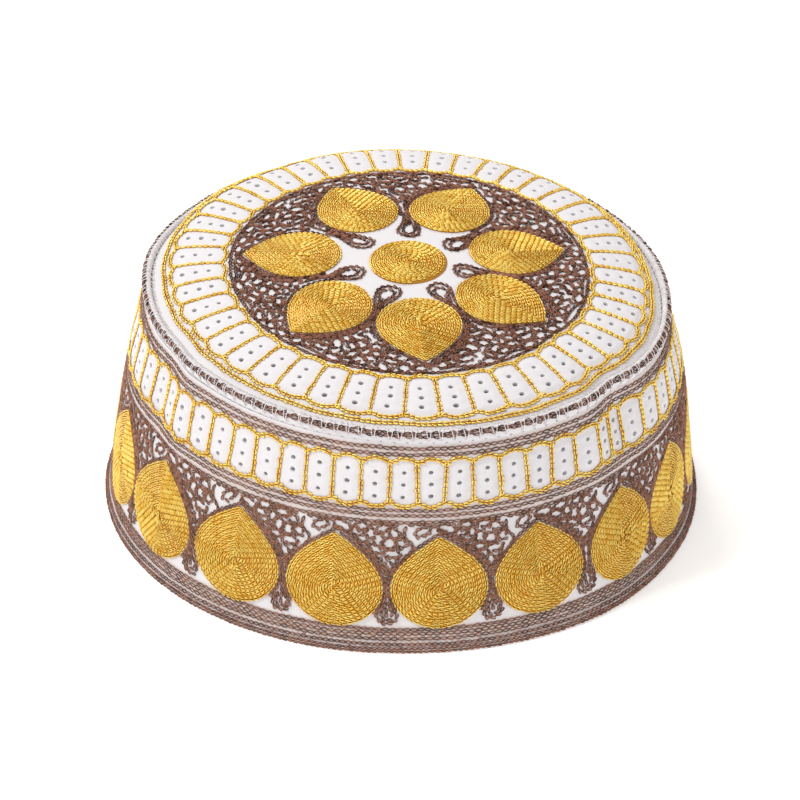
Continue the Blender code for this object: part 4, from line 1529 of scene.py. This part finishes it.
# How a whipping stitch goes up from its prick and over the ridge: outset and height
WHIP_PATH = ((0.00085, 0.0734), (0.00150, 0.0747), (0.00180, 0.0759), (0.00140, 0.0770), (0.00050, 0.0777),
             (-0.0006, 0.0776), (-0.0016, 0.0766), (-0.0024, 0.0757))
WHIP_STEP = 0.0004
WHIP_STRAY = 0.25
WHIP_SLANT = (0.5, 1.4)
rows = Rows()
sewer = np.random.default_rng(101)
path = smooth_line(WHIP_PATH, WHIP_STEP)
climb = np.linspace(0.0, 1.0, len(path))
for angle in np.arange(0.0, 360.0 - PRICK_PITCH / 2, PRICK_PITCH):
    angle = angle + sewer.normal(0.0, WHIP_STRAY)
    for side in (-1.0, 1.0):
        points = rim_point(angle + side * sewer.uniform(*WHIP_SLANT) * climb, path[:, 0], path[:, 1])
        rows.add(points, np.zeros_like(points), 0.001)
whipping = rows.as_object("ridge_whipping_white")
run_tree(whipping, strand_tree(), {"Thread": white_thread, "Radius": STRAND_RADIUS})
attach(whipping, "root")

PRICK_OUTSET = 0.00082
PRICK_HEIGHT = 0.0731
PRICK_LEAN = -0.5
PRICK_SIZE = 0.0006
PRICK_SHARE = 0.20
PRICK_SIDES = 6
# Rings of a prick from its rim to its floor: size and height
PRICK_RINGS = ((0.5, 0.10), (0.34, 0.16), (0.2, -0.1))


def prick_shape():
    """A needle hole of unit size: a shallow funnel pressed into the cloth."""
    shape = bmesh.new()
    turns = [math.radians(360 / PRICK_SIDES * step) for step in range(PRICK_SIDES)]
    join_rings(shape, [[(PRICK_SHARE * size * math.cos(turn), size * math.sin(turn), height)
                        for turn in turns] for size, height in PRICK_RINGS])
    shape.loops.layers.uv.new("thread")
    return finished_shape("prick", shape)


# The pricks' blue-grey colour is painted shade inside the needle holes
prick_painted_shade = mottled_material("needle_pricks", 400.0, (0.30, 0.34, 0.40), (0.42, 0.46, 0.52),
                                  roughness=0.9)
rows = Rows()
prick_ring = np.arange(0.0, 360.0, 0.7)
points = rim_point(prick_ring, PRICK_OUTSET, np.full_like(prick_ring, PRICK_HEIGHT))
rows.add(points, leaning_out(prick_ring, PRICK_LEAN), PRICK_SIZE, closed=True)
pricks = rows.as_object("seam_pricks")
run_tree(pricks, chain_stitching, {"Link": prick_shape(), "Ground": None, "Thread": prick_painted_shade,
                                   "Pitch": 0.00403, "Thickness": PRICK_SIZE, "Sway": 0.1, "Seed": 7})
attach(pricks, "root")

# Studio
# The cap stands on white paper that glows a little, as its photograph's floor is burnt
# out. Three soft lamps and a pale room light it, and a long lens looks down 34 degrees.

CAMERA_PLACE = Vector((-0.0001, -1.2300, 0.8604))
CAMERA_AIM = Vector((-0.0002, -0.0013, 0.0327))

camera = add_to_scene("camera", bpy.data.cameras.new("camera"))
camera.data.sensor_width = 36.0
camera.data.lens = 206.2
camera.data.clip_end = 20.0
camera.location = CAMERA_PLACE
camera.rotation_euler = (CAMERA_AIM - CAMERA_PLACE).to_track_quat("-Z", "Y").to_euler()
bpy.context.scene.camera = camera

FLOOR_HALF = 6
PAPER_GLOW = 0.32
ROOM_LIGHT = 0.55
floor_mesh = bpy.data.meshes.new("table_top")
floor_mesh.from_pydata([(FLOOR_HALF * x, FLOOR_HALF * y, 0) for x, y in ((-1, -1), (1, -1), (1, 1), (-1, 1))],
                       [], [(0, 1, 2, 3)])
floor_mesh.materials.append(mottled_material("white_paper", 200.0, (0.95, 0.95, 0.95), (0.97, 0.97, 0.97),
                                             roughness=0.95, specular=0.0, glow=PAPER_GLOW))
floor = add_to_scene("table_top", floor_mesh)

# Each lamp's name, place, height that it is turned to, size and power
LAMPS = (("key", (-1.2, -0.5, 1.7), 0.04, 0.5, 26.0), ("fill", (1.2, -1.3, 1.0), 0.04, 0.9, 9.0),
         ("back", (-0.5, 1.5, 1.2), 0.05, 0.6, 14.0))
for name, lamp_place, aim, size, power in LAMPS:
    lamp = add_to_scene(name, bpy.data.lights.new(name, "AREA"))
    lamp.data.size = size
    lamp.data.energy = power
    lamp.location = lamp_place
    lamp.rotation_euler = (Vector((0, 0, aim)) - Vector(lamp_place)).to_track_quat("-Z", "Y").to_euler()

world = bpy.data.worlds.new("studio")
world.use_nodes = True
world.node_tree.nodes["Background"].inputs["Color"].default_value = (1.0, 1.0, 1.0, 1.0)
world.node_tree.nodes["Background"].inputs["Strength"].default_value = ROOM_LIGHT
bpy.context.scene.world = world
bpy.context.scene.view_settings.view_transform = "Standard"
